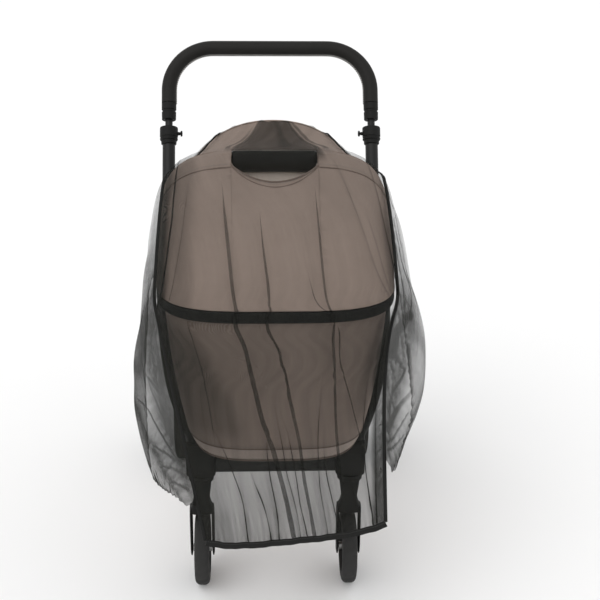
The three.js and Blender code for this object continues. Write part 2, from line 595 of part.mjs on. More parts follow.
function chassisSide(name, side) {
  const x = side * TUBE_X;
  const stack = (from, to) => [onPush(x, from + SEAT_GAP), onPush(x, to)];
  const hubDrop = PUSH_FOOT.z - HUB.z;
  const tubeStart = HUB.radius + SEAT_GAP - hubDrop / Math.sin(PUSH_SLOPE);
  const { tubeTop, sleeveTop, neckTop, collarTop } = PUSH_STOPS;
  add(`lower_tube_${name}`, rod(onPush(x, tubeStart), onPush(x, tubeTop), RADIUS.lowerTube), 'metal');
  add(`sleeve_${name}`, rod(...stack(tubeTop, sleeveTop), RADIUS.sleeve), 'plastic');
  add(`neck_${name}`, rod(...stack(sleeveTop, neckTop), RADIUS.neck), 'metal');
  add(`collar_${name}`, rod(...stack(neckTop, collarTop), RADIUS.collar), 'plastic');

  const hubY = PUSH_FOOT.y - hubDrop / Math.tan(PUSH_SLOPE);
  add(`hub_${name}`, rod(vec(x - HUB.width / 2, hubY, HUB.z), vec(x + HUB.width / 2, hubY, HUB.z),
    HUB.radius, 16), 'plastic');

  const onSide = (point) => vec(side * point.x, point.y, point.z);
  const offHub = (towards) => vec(0, towards.y - hubY, towards.z - HUB.z).normalize()
    .multiplyScalar(HUB.radius + 2 * SEAT_GAP).add(vec(x, hubY, HUB.z));
  const armPath = new THREE.CatmullRomCurve3([
    offHub(ARM_POINTS[0]),
    ...ARM_POINTS.map(onSide),
    vec(side * 164.5, FORK.y, FORK.blockTop + 3 * SEAT_GAP),
  ]);
  add(`arm_${name}`, tube(armPath, RADIUS.arm, 10, 15), 'metal');
  const seatX = [side * MOUNT.inner, side * MOUNT.outer].sort((a, b) => a - b);
  add(`cot_mount_${name}`, box(...seatX, -MOUNT.length / 2, MOUNT.length / 2,
    MOUNT.top - MOUNT.height, MOUNT.top), 'plastic');

  const rearPath = new THREE.CatmullRomCurve3([
    offHub(REAR_LEG_POINTS[0]),
    ...REAR_LEG_POINTS.map(onSide),
  ]);
  add(`rear_leg_${name}`, tube(rearPath, RADIUS.arm, 10, 9), 'metal');

  const forkX = side * FORK.x;
  const [halfWidth, halfDepth] = [FORK.blockWidth / 2, FORK.blockDepth / 2];
  add(`fork_block_${name}`, box(forkX - halfWidth, forkX + halfWidth,
    FORK.y - halfDepth, FORK.y + halfDepth, FORK.blockBottom, FORK.blockTop), 'plastic');
  add(`fork_collar_${name}`, rod(vec(forkX, FORK.y, FORK_OUTLINE[0].z + SEAT_GAP),
    vec(forkX, FORK.y, FORK.blockBottom - SEAT_GAP), RADIUS.forkCollar, 16), 'plastic');
  const outline = [...FORK_OUTLINE, ...FORK_OUTLINE.map((p) => ({ x: -p.x, z: p.z })).reverse()];
  const shape = new THREE.Shape(outline.map((p) => new THREE.Vector2(p.x, p.z)));
  const fork = new THREE.ExtrudeGeometry(shape, { depth: FORK_DEPTH, bevelEnabled: false });
  fork.rotateX(Math.PI / 2);
  fork.translate(forkX, FORK.y + FORK_DEPTH / 2, 0);
  add(`fork_${name}`, fork, 'plastic');
  const height = wheel(`front_wheel_${name}`, forkX, FORK.y, FRONT_WHEEL);
  const reach = FORK_OUTLINE[4].x - 0.1;
  add(`front_axle_${name}`, rod(vec(forkX - reach, FORK.y, height), vec(forkX + reach, FORK.y, height),
    RADIUS.axle), 'metal');
  wheel(`rear_wheel_${name}`, side * REAR_WHEEL.x, REAR_WHEEL.y, REAR_WHEEL);
}
chassisSide('left', -1);
chassisSide('right', 1);

const crossHalf = FORK.x - FORK.blockWidth / 2 - SEAT_GAP;
add('front_crossbar', box(-crossHalf, crossHalf, FORK.y - CROSSBAR.halfDepth,
  FORK.y + CROSSBAR.halfDepth, CROSSBAR.bottom, CROSSBAR.top), 'metal');
const rearAxleZ = REAR_WHEEL.radius * Math.cos(Math.PI / WHEEL_SIDES);
const axleEnd = REAR_WHEEL.x + REAR_WHEEL.width / 2 - 4;
add('rear_axle', rod(vec(-axleEnd, REAR_WHEEL.y, rearAxleZ), vec(axleEnd, REAR_WHEEL.y, rearAxleZ),
  RADIUS.axle), 'metal');

// The origin lies under the middle of the whole, on the ground.
part.updateMatrixWorld(true);
const extent = new THREE.Box3().setFromObject(part);
part.position.set(-(extent.min.x + extent.max.x) / 2, -(extent.min.y + extent.max.y) / 2, -extent.min.z);
part.updateMatrixWorld(true);

export default part;
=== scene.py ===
"""Looks of a mosquito net drawn over a pram carrycot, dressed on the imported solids.

Shapes are worked out in millimetres in the pram's own frame: X across, -Y towards the head end of
the cot, Z up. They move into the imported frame, in metres, when they become a mesh.
"""
import math

import bmesh
import bpy
import numpy as np
from mathutils import Matrix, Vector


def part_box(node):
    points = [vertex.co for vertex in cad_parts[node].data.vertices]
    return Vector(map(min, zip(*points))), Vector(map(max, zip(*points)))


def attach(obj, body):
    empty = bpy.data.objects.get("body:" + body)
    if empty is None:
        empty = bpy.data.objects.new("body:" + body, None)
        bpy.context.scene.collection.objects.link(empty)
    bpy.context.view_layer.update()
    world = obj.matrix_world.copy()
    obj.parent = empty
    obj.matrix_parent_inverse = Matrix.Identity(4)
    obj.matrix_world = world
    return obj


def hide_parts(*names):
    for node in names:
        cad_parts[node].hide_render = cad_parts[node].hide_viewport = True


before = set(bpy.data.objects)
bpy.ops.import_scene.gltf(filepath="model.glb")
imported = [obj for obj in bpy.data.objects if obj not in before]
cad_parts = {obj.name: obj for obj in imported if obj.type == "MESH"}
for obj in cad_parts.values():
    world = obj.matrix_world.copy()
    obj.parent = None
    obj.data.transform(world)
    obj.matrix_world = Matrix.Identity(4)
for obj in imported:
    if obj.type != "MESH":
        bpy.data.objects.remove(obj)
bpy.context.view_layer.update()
rim_low, rim_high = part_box("rim_band")
NOSE_TIP = -413.0
OFFSET = np.array([500 * (rim_low.x + rim_high.x), 1000 * rim_low.y - NOSE_TIP, 0.0])
PI = math.pi

# Cot and hood, as in the part, with fuller shoulders and a higher dome
COT_HALF_WIDTH = 222.0
RIM_TOP = 646.0
NOSE = {"start": -180.0, "reach": 233.0, "power": 3.65}
FOOT = {"start": 120.0, "reach": 280.0, "power": 2.6}
HOOD_FOOT = RIM_TOP + 1.9
HOOD_CROWN = 1.6
HOOD_START = 0.0002  # angle at which the hood's side leaves the rim
BOW = {"y": -95.0, "half": 226.0, "height": 208.5, "power": 3.9, "strip": 24.0}
REAR_EDGE = 9.0  # how far the rear hood's edge at the hand hole lies behind the bow
DOME = {"y": 85.0, "half": 202.0, "height": 229.0, "power": 2.2, "sag": 0.05}
GRIP = {"half": 82.0, "radius": 21.0, "z": 836.0}
HOLE = {"half": 83.6, "dip": 0.3, "side": 0.17}

# Net, as in the part
NET_CLEARANCE = 6.8
RIM_SEAM, BOW_SEAM, CREST_SEAM = 20.0, 31.0, 62.0
HEM = {"y": -500.0, "left": -129.0, "right": 192.0, "z": 236.0, "tilt": 17.0, "lift": 16.0}
REAR_HEM = {"half": 112.0, "z": 585.0, "reach": 6.8}

# Chassis, as in the part
TUBE_X = 234.0
PUSH_FOOT = {"y": 297.0, "z": 640.0}
PUSH_SLOPE = math.radians(61.3)
PUSH_BAR = {"radius": 17.0, "bend": 102.0, "top": 965.0}
PUSH_STOPS = {"tube": 139.0, "sleeve": 180.0, "neck": 197.0, "collar": 238.0}
HUB = {"z": 490.0, "radius": 30.0, "width": 27.0}
FORK = {"x": 147.0, "y": -250.0}
REAR_WHEEL = {"x": 215.0, "y": 300.0}
FRONT_RADIUS, REAR_RADIUS = 75.0, 115.0
FACET = math.cos(PI / 24)  # height of an axle over the floor, as a share of its wheel's radius


# Numbers and arrays

def mixed(low, high, share):
    """Value between low and high: low plus share times their difference."""
    return low + (high - low) * share


def xyz(x, y, z):
    """Points from three arrays of coordinates that broadcast together."""
    return np.stack(np.broadcast_arrays(x, y, z), -1).astype(float)


def pairs(x, y):
    """Places on a map from two arrays that broadcast together."""
    return np.stack(np.broadcast_arrays(x, y), -1)


def run_along(path):
    """Distance run from the start of a path to each of its points."""
    return np.concatenate([[0], np.linalg.norm(np.diff(path, axis=0), axis=-1).cumsum()])


def spanned(ring, across, up):
    """Ring laid into a plane: its first number times across plus its second times up."""
    return ring[:, :1] * across[..., None, :] + ring[:, 1:] * up[..., None, :]


def unit(vectors):
    """Vectors divided by their own length."""
    return vectors / np.maximum(np.linalg.norm(vectors, axis=-1, keepdims=True), 1e-9)


def ease(value, low, high):
    """Smooth step from 0 at low to 1 at high: t squared times (3 - 2 t)."""
    t = np.clip((value - low) / (high - low), 0, 1)
    return t * t * (3 - 2 * t)


def softened(points, times):
    """Rows averaged with their neighbours as (1, 2, 1) / 4, the given number of times."""
    points = points.copy()
    for _ in range(times):
        points[1:-1] = (points[:-2] + 2 * points[1:-1] + points[2:]) / 4
    return points


def ripples(x, y, seed, lengths, stretch=3.0):
    """Sum of sine waves of the given wave lengths across x, each drifting slowly along y."""
    chance = np.random.default_rng(seed)
    total = np.zeros(np.broadcast(x, y).shape)
    for length in lengths:
        phase, turn, slow = chance.uniform(0, 2 * PI, 3)
        drift = np.sin(2 * PI * y / (length * stretch * 4) + slow)
        total += np.sin(2 * PI * x / length + phase + 1.7 * drift) * (
            0.6 + 0.4 * np.sin(2 * PI * y / (length * stretch) + turn))
    return total / math.sqrt(len(lengths))


# Finishes

class Wire:
    """A shader socket on which arithmetic adds Math nodes."""

    def __init__(self, finish, socket):
        self.finish, self.socket = finish, socket

    def math(self, operation, *others):
        return self.finish.node("Math", {"operation": operation}, dict(enumerate((self, *others))))

    def __add__(self, other):
        return self.math("ADD", other)

    def __rsub__(self, other):
        return self.finish.node("Math", {"operation": "SUBTRACT"}, {0: other, 1: self})

    def __mul__(self, other):
        return self.math("MULTIPLY", other)

    __radd__, __rmul__ = __add__, __mul__

    def sine(self):
        return self.math("SINE")

    def within(self, low, high):
        return self.finish.node("Clamp", {}, {0: self, 1: low, 2: high})


class Finish:
    """A material. Its nodes come from one method: type, settings, then sockets."""

    def __init__(self, name, **constants):
        self.material = bpy.data.materials.new(name)
        self.material.use_nodes = True
        self.tree = self.material.node_tree
        self.shader = self.tree.nodes["Principled BSDF"]
        for key, value in constants.items():
            self.shader.inputs[key.replace("_", " ")].default_value = value

    def node(self, kind, settings=None, sockets=None, output=0):
        made = self.tree.nodes.new("ShaderNode" + kind)
        for key, value in (settings or {}).items():
            setattr(made, key, value)
        for key, value in (sockets or {}).items():
            self.join(value, made.inputs[key])
        return Wire(self, made.outputs[output])

    def join(self, value, socket):
        if isinstance(value, Wire):
            self.tree.links.new(value.socket, socket)
        else:
            socket.default_value = value

    def drive(self, **sockets):
        for key, value in sockets.items():
            self.join(value, self.shader.inputs[key.replace("_", " ")])

    def place(self):
        return self.node("TexCoord", output=3)

    def cloth_map(self):
        """The piece's own map, in metres along its cloth, split into its two directions."""
        where = self.node("UVMap", {"uv_map": "cloth"})
        return [self.node("SeparateXYZ", {}, {0: where}, output) for output in (0, 1)]

    def noise(self, scale, detail=3.0):
        return self.node("TexNoise", {}, {"Vector": self.place(), "Scale": scale, "Detail": detail})

    def blend(self, share, low, high):
        return self.node("Mix", {"data_type": "RGBA"}, {0: share, 6: low, 7: high}, 2)

    def relief(self, height, depth, strength=1.0):
        """Bump: the height times the depth in metres turns the surface's normal."""
        bump = self.node("Bump", {}, {"Strength": strength, "Distance": depth, "Height": height})
        self.drive(Normal=bump)


def sheer_net():
    """Black sheer mesh: its alpha is the cloth's own density, more on the threads than in the holes."""
    finish = Finish("sheer_black_net", Roughness=0.9, Specular_IOR_Level=0.15)
    density = finish.node("Attribute", {"attribute_name": "cover"}, output=2)
    along, across = finish.cloth_map()
    pitch = 0.0018
    threads = (along * (2 * PI / pitch)).sine() * (across * (2 * PI / pitch)).sine()
    uneven = finish.noise(14.0, 2.0)
    finish.drive(
        Base_Color=finish.blend(uneven, (0.010, 0.011, 0.009, 1), (0.017, 0.0165, 0.014, 1)),
        Alpha=(density * (1 + 0.35 * threads) * (0.88 + 0.24 * uneven)).within(0.0, 1.0))
    finish.relief(threads, 0.0003, 0.4)
    return finish.material


def woven(name, low, high, pitch, rough=0.85, depth=0.0004, slub=60.0):
    """Plain weave: the product of a wave along and a wave across the cloth, with uneven yarn."""
    finish = Finish(name, Sheen_Weight=0.04, Sheen_Roughness=0.6, Specular_IOR_Level=0.2)
    along, across = finish.cloth_map()
    turn = 2 * PI / pitch
    weave = (along * turn).sine() * (across * turn).sine()
    yarn = finish.noise(slub, 5.0)
    cloud = finish.noise(5.0, 2.0)
    share = (0.5 * yarn + 0.35 * cloud + 0.15 + 0.1 * weave).within(0.0, 1.0)
    finish.drive(Base_Color=finish.blend(share, low, high), Roughness=rough - 0.1 * yarn)
    finish.relief(weave * 0.6 + yarn, depth, 0.6)
    return finish.material


def tape(name, low, high, rib):
    """Ribbed woven tape: one wave along the tape, with a little fuzz."""
    finish = Finish(name, Specular_IOR_Level=0.2)
    along, across = finish.cloth_map()
    ribs = (along * (2 * PI / rib)).sine() * 0.5 + 0.5
    fuzz = finish.noise(220.0, 3.0)
    finish.drive(Base_Color=finish.blend(0.6 * ribs * fuzz + 0.2, low, high),
                 Roughness=0.92 - 0.15 * ribs)
    finish.relief(ribs + 0.5 * fuzz, 0.0005, 0.7)
    return finish.material


def leather():
    """Grained imitation leather: small cells raised between fine creases, glossier on the cells."""
    finish = Finish("grip_leather_grain", Specular_IOR_Level=0.14)
    cells = finish.node("TexVoronoi", {"feature": "F1"}, {"Vector": finish.place(), "Scale": 620.0})
    worn = finish.noise(18.0, 4.0)
    finish.drive(Base_Color=finish.blend((0.5 * cells + 0.5 * worn).within(0.0, 1.0),
                                         (0.019, 0.018, 0.0165, 1), (0.010, 0.0095, 0.0085, 1)),
                 Roughness=(0.4 + 0.2 * cells + 0.12 * worn).within(0.0, 1.0))
    finish.relief(1.0 - cells, 0.0004, 0.5)
    return finish.material


def hard(name, low, high, rough, spread, grain, depth=0.0001, **constants):
    """Moulded or painted surface: cloudy gloss and a fine grain in its relief."""
    finish = Finish(name, **constants)
    cloud = finish.noise(11.0, 3.0)
    fine = finish.noise(grain, 2.0)
    finish.drive(Base_Color=finish.blend(cloud, low, high),
                 Roughness=(rough + spread * cloud + 0.06 * fine).within(0.05, 1.0))
    finish.relief(fine, depth, 0.35)
    return finish.material


NET = sheer_net()
CLOTH = woven("cot_cloth_taupe", (0.325, 0.25, 0.208, 1), (0.395, 0.312, 0.265, 1), 0.0011)
BASE_CLOTH = woven("cot_base_cloth", (0.46, 0.375, 0.325, 1), (0.55, 0.455, 0.4, 1), 0.0011)
LINING = woven("cot_lining", (0.62, 0.54, 0.47, 1), (0.72, 0.64, 0.57, 1), 0.0009)
SEAM_CLOTH = woven("cot_seam_piping", (0.2, 0.15, 0.125, 1), (0.27, 0.21, 0.175, 1), 0.0008)
TAPE = tape("net_binding_tape", (0.006, 0.006, 0.006, 1), (0.022, 0.022, 0.02, 1), 0.0022)
WEBBING = tape("rim_webbing", (0.007, 0.007, 0.0065, 1), (0.026, 0.026, 0.024, 1), 0.0028)
THREAD = hard("sewing_thread", (0.22, 0.215, 0.2, 1), (0.34, 0.33, 0.31, 1), 0.6, 0.1, 900.0)
DARK_THREAD = hard("dark_sewing_thread", (0.02, 0.02, 0.019, 1), (0.05, 0.05, 0.046, 1), 0.6, 0.1, 900.0)
LEATHER = leather()
PAINT = hard("black_painted_tube", (0.005, 0.005, 0.0048, 1), (0.009, 0.009, 0.0085, 1), 0.36, 0.14,
             500.0, 0.00004, Specular_IOR_Level=0.25, Coat_Weight=0.04, Coat_Roughness=0.3)
PLASTIC = hard("black_moulded_plastic", (0.0045, 0.0045, 0.0042, 1), (0.0085, 0.0085, 0.008, 1), 0.5,
               0.14, 900.0, 0.0001, Specular_IOR_Level=0.18)
RUBBER = hard("tyre_rubber", (0.018, 0.018, 0.018, 1), (0.04, 0.039, 0.037, 1), 0.78, 0.14, 300.0,
              Specular_IOR_Level=0.3)
STEEL = hard("axle_steel", (0.35, 0.35, 0.34, 1), (0.5, 0.5, 0.49, 1), 0.26, 0.12, 400.0, 0.00003,
             Metallic=1.0)


# Meshes

def grid_faces(rows, columns, round_rows=False, round_columns=False):
    """Quads between neighbouring rows and columns, closed round where asked."""
    i = np.arange(rows if round_rows else rows - 1)
    j = np.arange(columns if round_columns else columns - 1)
    i, j = np.meshgrid(i, j, indexing="ij")
    next_i, next_j = (i + 1) % rows, (j + 1) % columns
    corners = [i * columns + j, next_i * columns + j, next_i * columns + next_j, i * columns + next_j]
    return np.stack(corners, -1).reshape(-1, 4)


def enclosed(points, faces):
    """Signed volume inside quads: a sixth of the triple product of each of their two triangles."""
    total = 0.0
    for corners in ((0, 1, 2), (0, 2, 3)):
        a, b, c = (points[faces[:, k]] for k in corners)
        total += (a * np.cross(b, c)).sum() / 6
    return total


def linked(name, data):
    """Object made of the given data, linked into the scene."""
    made = bpy.data.objects.new(name, data)
    bpy.context.collection.objects.link(made)
    return made


def piece(name, points, faces, finish, instead=(), chart=None, density=None, sharp=None,
          closed=True, merge=False):
    """One object: points in millimetres in the pram's frame, quads, and its finish."""
    points = points.reshape(-1, 3)
    if closed and enclosed(points, faces) < 0:
        faces = faces[:, ::-1]
    mesh = bpy.data.meshes.new(name)
    mesh.from_pydata(((points + OFFSET) / 1000).tolist(), [], faces.tolist())
    if chart is not None:
        layer = mesh.uv_layers.new(name="cloth")
        layer.data.foreach_set("uv", (chart.reshape(-1, 2)[faces.reshape(-1)] / 1000).ravel())
    if density is not None:
        layer = mesh.attributes.new("cover", "FLOAT", "POINT")
        layer.data.foreach_set("value", density.ravel())
    if merge:
        body = bmesh.new()
        body.from_mesh(mesh)
        bmesh.ops.remove_doubles(body, verts=body.verts, dist=1e-6)
        bmesh.ops.dissolve_degenerate(body, edges=body.edges, dist=1e-7)
        body.to_mesh(mesh)
        body.free()
    mesh.polygons.foreach_set("use_smooth", [True] * len(mesh.polygons))
    if sharp:
        mesh.set_sharp_from_angle(angle=math.radians(sharp))
    mesh.materials.append(finish)
    made = linked(name, mesh)
    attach(made, "root")
    if instead:
        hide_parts(*instead)
    return made


def chart_of(points):
    """Map of a grid in millimetres: distance run along its columns, and along its rows."""
    across = np.linalg.norm(np.diff(points, axis=1), axis=-1).cumsum(1)
    along = np.linalg.norm(np.diff(points, axis=0), axis=-1).cumsum(0)
    across = np.concatenate([np.zeros((len(points), 1)), across], 1)
    along = np.concatenate([np.zeros((1, points.shape[1])), along], 0)
    across -= across[:, points.shape[1] // 2][:, None]
    return np.stack([across, along], -1)


def outward(points):
    """Unit normals of a grid: its row direction crossed with its column direction."""
    return unit(np.cross(np.gradient(points, axis=1), np.gradient(points, axis=0)))


def shell(name, points, thickness, finish, instead=()):
    """Closed cloth shell: the grid and the same grid moved in along its normals, joined at the rim."""
    rows, columns = points.shape[:2]
    inner = points - thickness * outward(points)
    count = rows * columns
    front = grid_faces(rows, columns)
    index = np.arange(count).reshape(rows, columns)
    edge = np.concatenate([index[0, :-1], index[:-1, -1], index[-1, :0:-1], index[:0:-1, 0]])
    after = np.roll(edge, -1)
    rim = np.stack([after, edge, edge + count, after + count], -1)
    faces = np.concatenate([front, front[:, ::-1] + count, rim])
    chart = chart_of(points)
    return piece(name, np.concatenate([points.reshape(-1, 3), inner.reshape(-1, 3)]), faces, finish,
                 instead, np.concatenate([chart.reshape(-1, 2)] * 2), sharp=50)


def circle(count, wide=1.0, high=None):
    """Ring of places on an ellipse: wide times the cosine, high times the sine of even angles."""
    angle = np.arange(count) / count * 2 * PI
    return np.stack([wide * np.cos(angle), (wide if high is None else high) * np.sin(angle)], -1)


def rounded_box(half_wide, half_high, corner, count=48):
    """Ring of places on a rectangle with rounded corners: a superellipse whose power grows as the
    corners get smaller."""
    power = 2 * min(half_wide, half_high) / corner
    angle = (np.arange(count) + 0.5) / count * 2 * PI
    c, s = np.cos(angle), np.sin(angle)
    return np.stack([half_wide * np.sign(c) * np.abs(c) ** (2 / power),
                     half_high * np.sign(s) * np.abs(s) ** (2 / power)], -1)


def carried(name, path, ring, across, finish, instead=(), sizes=None, sharp=40, ends=True):
    """A ring carried along a path. At each place it lies in the plane of the across direction and
    the one at right angles to it and to the path, and is scaled by the sizes. Both ends close."""
    along = unit(np.gradient(path, axis=0))
    across = unit(np.broadcast_to(np.array(across, float), path.shape))
    across = unit(across - (across * along).sum(-1, keepdims=True) * along)
    up = np.cross(along, across)
    sizes = np.ones(len(path)) if sizes is None else sizes
    points = path[:, None] + sizes[:, None, None] * spanned(ring, across, up)
    if ends:
        cap = [np.repeat(path[k][None, None], len(ring), 1) for k in (0, -1)]
        points = np.concatenate([cap[0], points, cap[1]])
    run = run_along(points[:, 0])
    turn = np.arange(len(ring)) / len(ring) * 2 * PI * np.linalg.norm(ring, axis=-1).mean()
    chart = pairs(run[:, None], turn)
    return piece(name, points, grid_faces(*points.shape[:2], round_columns=True), finish, instead,
                 chart, sharp=sharp, merge=ends)


def turned(name, start, axis, profile, finish, instead=(), count=40):
    """Surface of revolution: each profile row is a distance along the axis and a radius."""
    profile = np.array(profile, float)
    axis = unit(np.array(axis, float))
    side = unit(np.cross(axis, [0.3, 0.5, 0.8]))
    up = np.cross(axis, side)
    points = (np.array(start, float) + profile[:, :1, None] * axis
              + profile[:, 1:, None] * spanned(circle(count), side, up))
    chart = pairs(profile[:, :1], np.arange(count) * 2.0)
    return piece(name, points, grid_faces(len(profile), count, round_columns=True), finish,
                 instead, chart, sharp=35, merge=True)


def curve_through(knots, count):
    """Smooth path through knots: at each knot the slope of the parabola through its neighbours,
    with cubic Hermite pieces between, sampled evenly."""
    knots = np.array(knots, float)
    run = np.concatenate([[0], np.sqrt(np.linalg.norm(np.diff(knots, axis=0), axis=-1)).cumsum()])
    slope = np.gradient(knots, run, axis=0)
    fine = np.linspace(0, run[-1], count)
    k = np.clip(np.searchsorted(run, fine, "right") - 1, 0, len(knots) - 2)
    span = (run[k + 1] - run[k])[:, None]
    t = (fine - run[k])[:, None] / span
    return ((2 * t ** 3 - 3 * t ** 2 + 1) * knots[k] + (t ** 3 - 2 * t ** 2 + t) * span * slope[k]
            + (3 * t ** 2 - 2 * t ** 3) * knots[k + 1] + (t ** 3 - t ** 2) * span * slope[k + 1])


def evenly(path, step, carry=None):
    """Places at even steps along a path, or what is carried along it read at those places."""
    run = run_along(path)
    fine = np.linspace(0, run[-1], max(2, int(run[-1] / step)))
    carry = path if carry is None else np.broadcast_to(np.array(carry, float), path.shape)
    return np.stack([np.interp(fine, run, carry[:, k]) for k in range(3)], -1)


def stitches(name, path, out, finish, pitch=5.0, length=3.4, radius=0.5):
    """Row of stitches: on every pitch of the path a small spindle of eight sides lies along it,
    lifted by the out direction."""
    spots = evenly(path, pitch)
    along = unit(np.gradient(spots, axis=0))
    out = unit(evenly(path, pitch, out))
    side = unit(np.cross(along, out))
    lie = np.array([-0.5, -0.36, 0.0, 0.36, 0.5]) * length
    girth = np.array([0.0, 0.8, 1.0, 0.8, 0.0]) * radius
    sides = 8
    points = (spots[:, None, None] + lie[:, None, None] * along[:, None, None]
              + girth[:, None, None] * spanned(circle(sides), side, out)[:, None])
    one = grid_faces(len(lie), sides, round_columns=True)
    faces = (one[None] + len(lie) * sides * np.arange(len(spots))[:, None, None]).reshape(-1, 4)
    return piece(name, points, faces, finish, chart=points.reshape(-1, 3)[:, :2], merge=True)


def block(name, low, high, corner, finish, instead=()):
    """Block with rounded upright edges and chamfered ends."""
    low, high = np.array(low, float), np.array(high, float)
    middle, half = (low + high) / 2, (high - low) / 2
    chamfer = min(2.5, half[2] / 2)
    heights = np.array([low[2], low[2] + chamfer / 3, low[2] + chamfer, high[2] - chamfer,
                        high[2] - chamfer / 3, high[2]])
    shrink = 1 - np.array([chamfer, chamfer / 3, 0, 0, chamfer / 3, chamfer]) / half[:2].min()
    path = xyz(middle[0], middle[1], heights)
    return carried(name, path, rounded_box(half[0], half[1], corner), (1.0, 0.0, 0.0), finish,
                   instead, shrink, sharp=30)


# Cot surfaces, as in the part

def across(angle, power):
    """Sideways share of a superellipse over half a turn, from -1 to 1."""
    c = np.cos(angle)
    return -np.sign(c) * np.abs(c) ** (2 / power)


def rise(angle, power):
    """Upward share of a superellipse over half a turn, from 0 to 1 and back."""
    return np.abs(np.sin(angle)) ** (2 / power)


def cot_plan(angle, z, half, nose, foot):
    """Plan of the cot round a whole turn: half a superellipse at the nose, half at the foot."""
    head = angle <= PI
    turn = np.where(head, angle, angle - PI)
    x = np.where(head, half * across(turn, NOSE["power"]), -half * across(turn, FOOT["power"]))
    y = np.where(head, NOSE["start"] - nose * rise(turn, NOSE["power"]),
                 FOOT["start"] + foot * rise(turn, FOOT["power"]))
    return xyz(x, y, z)


def hood_front(angle, lean, grow):
    """Hood from the nose of the rim (lean 0) up and back to the carry bow (lean 1)."""
    near = np.maximum(np.cos(lean * PI / 2), 0) ** HOOD_CROWN
    high = np.sin(lean * PI / 2) ** HOOD_CROWN
    bow_y = BOW["y"] - BOW["strip"] / 2
    nose_x = (COT_HALF_WIDTH + grow) * across(angle, NOSE["power"])
    nose_y = NOSE["start"] - (NOSE["reach"] + grow) * rise(angle, NOSE["power"])
    bow_x = (BOW["half"] + grow) * across(angle, BOW["power"])
    bow_z = (BOW["height"] + grow) * rise(angle, BOW["power"])
    return xyz(mixed(nose_x, bow_x, high), bow_y + (nose_y - bow_y) * near, HOOD_FOOT + bow_z * high)


def hood_rear(angle, run, grow):
    """Hood from the carry bow (run 0) back to the crest of the dome (run 1)."""
    slack = 1 - DOME["sag"] * np.sin(PI * run)
    x = mixed((BOW["half"] + grow) * across(angle, BOW["power"]),
              (DOME["half"] + grow) * across(angle, DOME["power"]), run)
    z = mixed((BOW["height"] + grow) * rise(angle, BOW["power"]),
              (DOME["height"] + grow) * rise(angle, DOME["power"]), run)
    return xyz(x * slack, mixed(BOW["y"] + BOW["strip"] / 2, DOME["y"], run), HOOD_FOOT + z * slack)


def bow_angle(x):
    """Angle at which the bow's arch stands at a distance from the middle."""
    angle = np.arccos(np.minimum(1, (np.abs(x) / BOW["half"]) ** (BOW["power"] / 2)))
    return np.where(x < 0, angle, PI - angle)


def hole_share(angle):
    """Share of the hand hole at a place across the hood: 0 outside it, 1 in the middle."""
    x = BOW["half"] * across(angle, BOW["power"]) / HOLE["half"]
    return np.maximum(0, 1 - x * x)


# Net surfaces, as in the part

def seam_angle(u, start, drawn=1.0):
    """Angle round the cot at a place across the strip. The power drawn, put on its cosine, draws
    the places in towards the middle."""
    c = np.cos(np.radians(mixed(start, 180 - start, (u + 1) / 2)))
    return np.arccos(np.sign(c) * np.abs(c) ** drawn)


def strip_front(u, climb):
    """Strip from the front hem (climb 0) straight to the rim, then upright over the rim band."""
    rim = hood_front(seam_angle(u, RIM_SEAM), 0.0, NET_CLEARANCE)
    side = (u + 1) / 2
    share = np.minimum(1, climb / 0.94)
    hem_x = mixed(HEM["left"], HEM["right"], side)
    hem_z = HEM["z"] + HEM["tilt"] * u + HEM["lift"] * u ** 4
    return xyz(mixed(hem_x, rim[..., 0], share ** mixed(1.0, 5.0, side)),
               mixed(HEM["y"], rim[..., 1], share), mixed(hem_z, rim[..., 2], climb))


def strip_hood(u, lean):
    """Strip over the hood, held off it by the net's clearance."""
    return hood_front(seam_angle(u, mixed(RIM_SEAM, BOW_SEAM, lean), 1 + 0.3 * lean), lean, NET_CLEARANCE)


def strip_saddle(u, run):
    """Strip from the bow over the grip to the crest, where its seams draw together."""
    angle = seam_angle(u, mixed(BOW_SEAM, CREST_SEAM, run ** 1.3), 1.3 - 0.3 * run)
    return hood_rear(angle, run, NET_CLEARANCE + 1 - 3 * np.sin(PI * run))


def foot_point(u, z):
    """Point of the net at the foot of the cot, past the rim by the rear hem's reach."""
    x = REAR_HEM["half"] * u * 1.05
    share = np.abs(x) / (COT_HALF_WIDTH + REAR_HEM["reach"])
    reach = (FOOT["reach"] + REAR_HEM["reach"]) * (1 - share ** FOOT["power"]) ** (1 / FOOT["power"])
    return xyz(x, FOOT["start"] + reach, z)


def strip_rear(u, fall):
    """Strip from the crest to the foot of the cot, sagging a little, then down past the rim."""
    rim_z = RIM_TOP + 8
    share = np.minimum(1, fall * 6 / 5)
    slope = mixed(strip_saddle(u, 1.0), foot_point(u, rim_z), share[..., None] if np.ndim(share) else share)
    slope = slope - xyz(0, 0, 14 * np.sin(PI * share))
    below = np.maximum(0, fall * 6 - 5)
    return np.where((below > 0)[..., None], foot_point(u, mixed(rim_z, REAR_HEM["z"], below)), slope)


# Rows of the strip. Level is the part's own count of rows, which the side panels share.
STRIP_PARTS = [
    {"shape": strip_front, "rows": 84, "place": (0.018, 1), "drift": (0.65, 1)},
    {"shape": strip_hood, "rows": 66, "place": (0.012, 0.985), "drift": (1, 1.24)},
    {"shape": strip_saddle, "rows": 22, "place": (0, 1), "drift": (1.24, 1.24)},
    {"shape": strip_rear, "rows": 32, "place": (0.025, 1), "drift": (1.24, 1.24)},
]


def level_of(shape, place):
    """The part's row count at a place: nine front rows bunched near the rim, eight over the hood,
    four over the saddle and six behind."""
    if shape is strip_front:
        return 9 * (1 - (1 - place) ** (1 / 1.3))
    if shape is strip_hood:
        return 9 + 8 * place / 0.985
    return 18 + 4 * place if shape is strip_saddle else 22 + 6 * place


